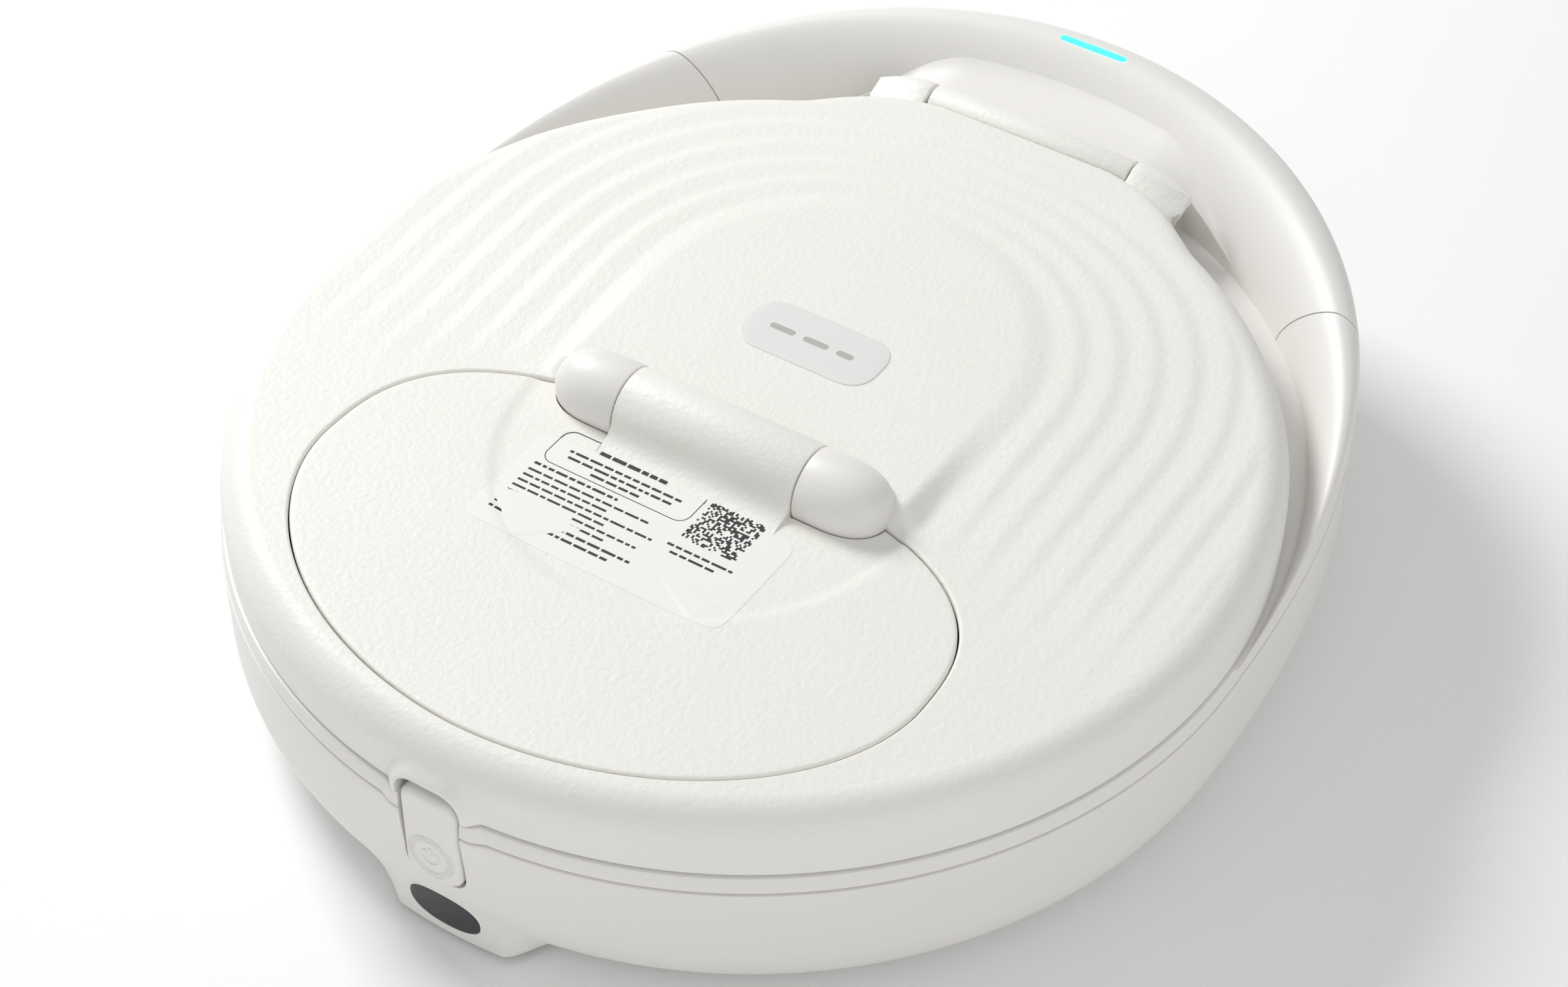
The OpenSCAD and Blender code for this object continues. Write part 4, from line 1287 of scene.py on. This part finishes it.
@dataclass
class FrontFittings:
    """Latch button with its knurled ring, and the dark display window below it."""

    face_y: float = 163.95
    button_z: float = 47.5
    knurl_z: float = 40.0
    knurl_r: tuple = (5.6, 8.3)
    knurl_pitch: float = 0.8
    window_z: float = 14.0

    def on_front(self, p: np.ndarray, radius: float, z0: float) -> np.ndarray:
        """Wraps flat points (across, up, outward) on an upright cylinder about the axis."""
        r = radius + p[..., 2]
        return np.stack([p[..., 0], -np.sqrt(r ** 2 - p[..., 0] ** 2), p[..., 1] + z0], axis=-1)

    def latch(self) -> bpy.types.Object:
        """Button: a rounded rectangle, taller than wide, with a soft rim and a solid back.

        Returns:
            The button.
        """
        outline = rounded_rectangle(19.6, 34.6, 5.6, 220, e=2.3)
        q = np.radians(np.linspace(0.0, 90.0, 9))
        levels = [(0.0, -5.2), (0.0, -2.0)]
        levels += [(2.0 * (1 - math.cos(b)), -2.0 + 2.0 * math.sin(b)) for b in q[1:]]
        rows = [np.column_stack([inset(outline, d), np.full(220, w)]) for d, w in levels]
        inner = rows[-1][:, :2]
        for t in np.linspace(0.0, 1.0, 18)[1:-1]:
            rows.append(np.column_stack([inner * (1 - t), np.zeros(220)]))
        maker = MeshMaker()
        maker.solid(self.on_front(np.array(rows), self.face_y, self.button_z),
                    [0.0, -self.face_y + 5.2, self.button_z], [0.0, -self.face_y, self.button_z])
        return maker.build("latch_button_cap")

    def knurl(self) -> bpy.types.Object:
        """Knurled ring: rounded pyramids in crossed rows, 0.8 mm apart, on a flat annulus.

        Returns:
            The ring.
        """
        u = np.linspace(0.0, 2 * np.pi, 420, endpoint=False)
        inner, outer = self.knurl_r
        r = np.linspace(inner, outer, 26)[:, None]
        x, z = r * np.cos(u), r * np.sin(u)
        k = np.pi / self.knurl_pitch
        bumps = np.abs(np.sin(k * (x + z) / 1.414)) * np.abs(np.sin(k * (x - z) / 1.414))
        rim = smooth((r - inner) / 0.3) * smooth((outer - r) / 0.3)
        face = np.stack([x, z, -0.02 + 0.42 * np.sqrt(bumps) * rim], axis=-1)
        back = np.stack([x, z, np.full_like(x, -0.6)], axis=-1)[::-1]
        rows = self.on_front(np.vstack([face, back]), self.face_y, self.knurl_z)
        return loop_skin("latch_knurl", rows, smooth_angle=60.0)

    def icon(self) -> bpy.types.Object:
        """Plain raised icon: an open ring and a short bar, each a round bead.

        Returns:
            The icon.
        """
        maker = MeshMaker()
        q = np.linspace(0.0, 2 * np.pi, 12, endpoint=False)
        sweep = np.radians(np.linspace(120.0, 420.0, 60))
        ring = np.column_stack([2.9 * np.cos(sweep), 2.9 * np.sin(sweep)])
        stem = np.column_stack([np.zeros(12), np.linspace(0.4, 3.9, 12)])
        for path in (ring, stem):
            step = np.gradient(path, axis=0)
            normal = np.column_stack([-step[:, 1], step[:, 0]])
            normal /= np.linalg.norm(normal, axis=1, keepdims=True)
            w = 0.42 * np.cos(q)
            p = np.stack([path[:, None, 0] + normal[:, None, 0] * w,
                          path[:, None, 1] + normal[:, None, 1] * w,
                          np.broadcast_to(0.3 * np.sin(q), (len(path), 12))], axis=-1)
            maker.solid(self.on_front(p, self.face_y + 0.08, self.knurl_z))
        return maker.build("latch_icon")

    def window(self, housing: Housing) -> tuple:
        """Display window and its thin bright rim, wrapped on the leaning pad.

        Args:
            housing: the housing whose pad carries them.

        Returns:
            The window and the rim.
        """
        t = np.linspace(0, 2 * np.pi, 200, endpoint=False)
        c, s = np.cos(t), np.sin(t)
        oval = np.column_stack([13.0 * np.sign(c) * np.abs(c) ** 0.84,
                                7.8 * np.sign(s) * np.abs(s) ** 0.84])
        oval = resample(oval, 200)

        def wrap(p: np.ndarray) -> np.ndarray:
            """Flat points (across, up, outward) laid on the pad's face."""
            z = p[..., 1] + self.window_z
            r = housing.pad_front(z) + p[..., 2]
            return np.stack([p[..., 0], -np.sqrt(r ** 2 - p[..., 0] ** 2), z], axis=-1)

        rows = [np.column_stack([inset(oval, d), np.full(200, w)]) for d, w in
                ((0.5, -1.2), (0.5, 0.1), (0.6, 0.2), (0.85, 0.25))]
        inner = rows[-1][:, :2]
        rows += [np.column_stack([inner * (1 - k), np.full(200, 0.25)])
                 for k in np.linspace(0, 1, 16)[1:-1]]
        glass = capped_loft("display_glass", wrap(np.array(rows)))
        q = np.linspace(0, 2 * np.pi, 12, endpoint=False)
        tube = np.array([np.column_stack([inset(oval, 0.15 - 0.42 * math.cos(b)),
                                          np.full(200, 0.3 * math.sin(b))]) for b in q])
        return glass, loop_skin("display_rim", wrap(tube), smooth_angle=80.0)

    def build(self, finishes: Finishes, housing: Housing) -> None:
        """Builds latch and window.

        Args:
            finishes: the feeder's finishes.
            housing: the housing whose pad carries the window.
        """
        finishes.dress(self.latch(), "latch_satin", "latch", "latch_button")
        finishes.dress(self.knurl(), "latch_satin", "latch")
        finishes.dress(self.icon(), "latch_satin", "latch")
        glass, rim = self.window(housing)
        finishes.dress(glass, "window_dark", "base", "display_window")
        finishes.dress(rim, "latch_satin", "base")


@dataclass
class RearHinge:
    """Fixed rear barrel, and the saddle behind it that fills the valley up to the arch."""

    arch: RearArch
    half: float = 37.5
    r: float = 6.2
    land: float = 79.0
    saddle_front: float = 173.0
    saddle_half: float = 92.0

    def barrel(self) -> bpy.types.Object:
        """Barrel on its foot: a circle over the top, with the foot running back and down.

        Returns:
            The barrel.
        """
        y, z = REAR_AXIS
        over = arc(y, z, self.r, 250.0, 20.0, 72)
        foot = [[172.4, 79.4], [176.0, 78.0], [176.0, 59.6]]
        outline = resample(np.vstack([[[163.2, 59.6]], over, foot]), 220)
        middle = np.array([168.0, 71.0])
        rows = []
        for x, d in ((-self.half, 0.5), (-self.half + 0.15, 0.15), (-self.half + 0.5, 0.0),
                     (self.half - 0.5, 0.0), (self.half - 0.15, 0.15), (self.half, 0.5)):
            ring = middle + (outline - middle) * (1 - d / 12.0)
            rows.append(stand_at(ring, x))
        return capped_loft("rear_hinge_barrel", np.array(rows))

    def saddle(self) -> bpy.types.Object:
        """Rows across the feeder: a rounded front edge, then a hollow that meets the slope.

        Returns:
            The saddle.
        """
        rows = []
        t = np.linspace(0.0, 1.0, 26)[:, None]
        for x in np.linspace(-self.saddle_half, self.saddle_half, 120):
            share = float(smooth(np.array((self.saddle_half - abs(x)) / 56.0)))
            top = DECK + 0.4 + (self.land - DECK - 0.4) * share
            y0 = min(self.saddle_front, self.arch.slope_y(x, DECK) - 0.4 + 0.2 * share)
            y1 = self.arch.slope_y(x, top + 4.5 * share) + 0.5
            bend = np.array([max(y0 + 3.0, y1 - 7.0), top - 1.2 * share])
            hollow = quadratic(np.array([y0 + 1.4, top]), bend,
                               np.array([y1, top + 4.5 * share]), t)
            edge = arc(y0 + 1.4, top - 1.4 * share, 1.4, 180.0, 90.0, 7)
            edge[:, 1] = np.minimum(edge[:, 1], top)
            section = np.vstack([[[y0, 59.3]], edge[:-1], hollow, [[y1 + 1.0, 59.3]]])
            rows.append(stand_at(section, x))
        return capped_loft("hinge_saddle", np.array(rows))

    def build(self, finishes: Finishes) -> None:
        """Builds and dresses the barrel and the saddle."""
        finishes.dress(self.barrel(), "cover_grain", "base", "rear_hinge_block")
        finishes.dress(self.saddle(), "body_satin", "base")


# ---- studio ----


@dataclass
class Studio:
    """Camera, floor and soft lights."""

    azimuth: float = 33.46
    elevation: float = 43.72
    roll: float = -0.23
    place: tuple = (419.8, -619.4, 764.8)
    lens: float = 77.48
    sky_strength: float = 0.5
    key: tuple = ((-1.25, 0.35, 1.15), 0.6, 21.0)
    fill: tuple = ((1.2, -1.0, 0.9), 1.4, 6.0)

    def camera(self) -> None:
        """Camera from azimuth, elevation and roll, at a place measured from the axis."""
        a, e, r = (math.radians(v) for v in (self.azimuth, self.elevation, self.roll))
        back = Vector((math.sin(a) * math.cos(e), -math.cos(a) * math.cos(e), math.sin(e)))
        right0 = Vector((math.cos(a), math.sin(a), 0.0))
        up0 = back.cross(right0)
        right = right0 * math.cos(r) + up0 * math.sin(r)
        up = up0 * math.cos(r) - right0 * math.sin(r)
        data = bpy.data.cameras.new("camera")
        data.lens, data.sensor_width = self.lens, 36.0
        data.clip_start, data.clip_end = 0.02, 30.0
        obj = bpy.data.objects.new("camera", data)
        turn = Matrix((right, up, back)).transposed().to_4x4()
        spot = Vector((self.place[0], self.place[1] + SHIFT_Y, self.place[2])) * MM
        obj.matrix_world = Matrix.Translation(spot) @ turn
        bpy.context.scene.collection.objects.link(obj)
        bpy.context.scene.camera = obj

    def lamp(self, name: str, spot: tuple, size: float, watts: float) -> None:
        """A square soft light aimed at the feeder.

        Args:
            name: object name.
            spot: place in metres.
            size: side in metres.
            watts: power.
        """
        data = bpy.data.lights.new(name, "AREA")
        data.size, data.energy = size, watts
        obj = bpy.data.objects.new(name, data)
        obj.location = spot
        aim = Vector((0, 0, 0.03)) - Vector(spot)
        obj.rotation_euler = aim.to_track_quat("-Z", "Y").to_euler()
        bpy.context.scene.collection.objects.link(obj)

    def floor(self) -> None:
        """Plain pale floor."""
        mesh = bpy.data.meshes.new("floor")
        mesh.from_pydata([(-6, -6, 0), (6, -6, 0), (6, 6, 0), (-6, 6, 0)], [], [(0, 1, 2, 3)])
        obj = bpy.data.objects.new("floor", mesh)
        bpy.context.scene.collection.objects.link(obj)
        paint = Moulded("floor_pale", "#fbfbfb", "#f8f8f8", 0.8, Texture.SATIN, 8.0, 0.01)
        mesh.materials.append(paint.build())

    def build(self) -> None:
        """Sets up the whole studio."""
        self.camera()
        self.floor()
        world = bpy.data.worlds.new("studio")
        bpy.context.scene.world = world
        world.use_nodes = True
        sky = world.node_tree.nodes["Background"]
        sky.inputs[0].default_value = (1.0, 1.0, 1.0, 1.0)
        sky.inputs[1].default_value = self.sky_strength
        self.lamp("key", *self.key)
        self.lamp("fill", *self.fill)
        bpy.context.scene.view_settings.view_transform = "Standard"


def main() -> None:
    """Builds the feeder's looks in order."""
    logging.basicConfig(level=logging.INFO, format="%(message)s")
    finishes = Finishes()
    finishes.dress_cad()
    housing = Housing()
    housing.build(finishes)
    arch = RearArch()
    arch.build(finishes)
    RearHinge(arch).build(finishes)
    Cover().build(finishes)
    Flap().build(finishes)
    FrontFittings().build(finishes, housing)
    Studio().build()
    bpy.context.view_layer.update()


if __name__ == "__main__":
    main()
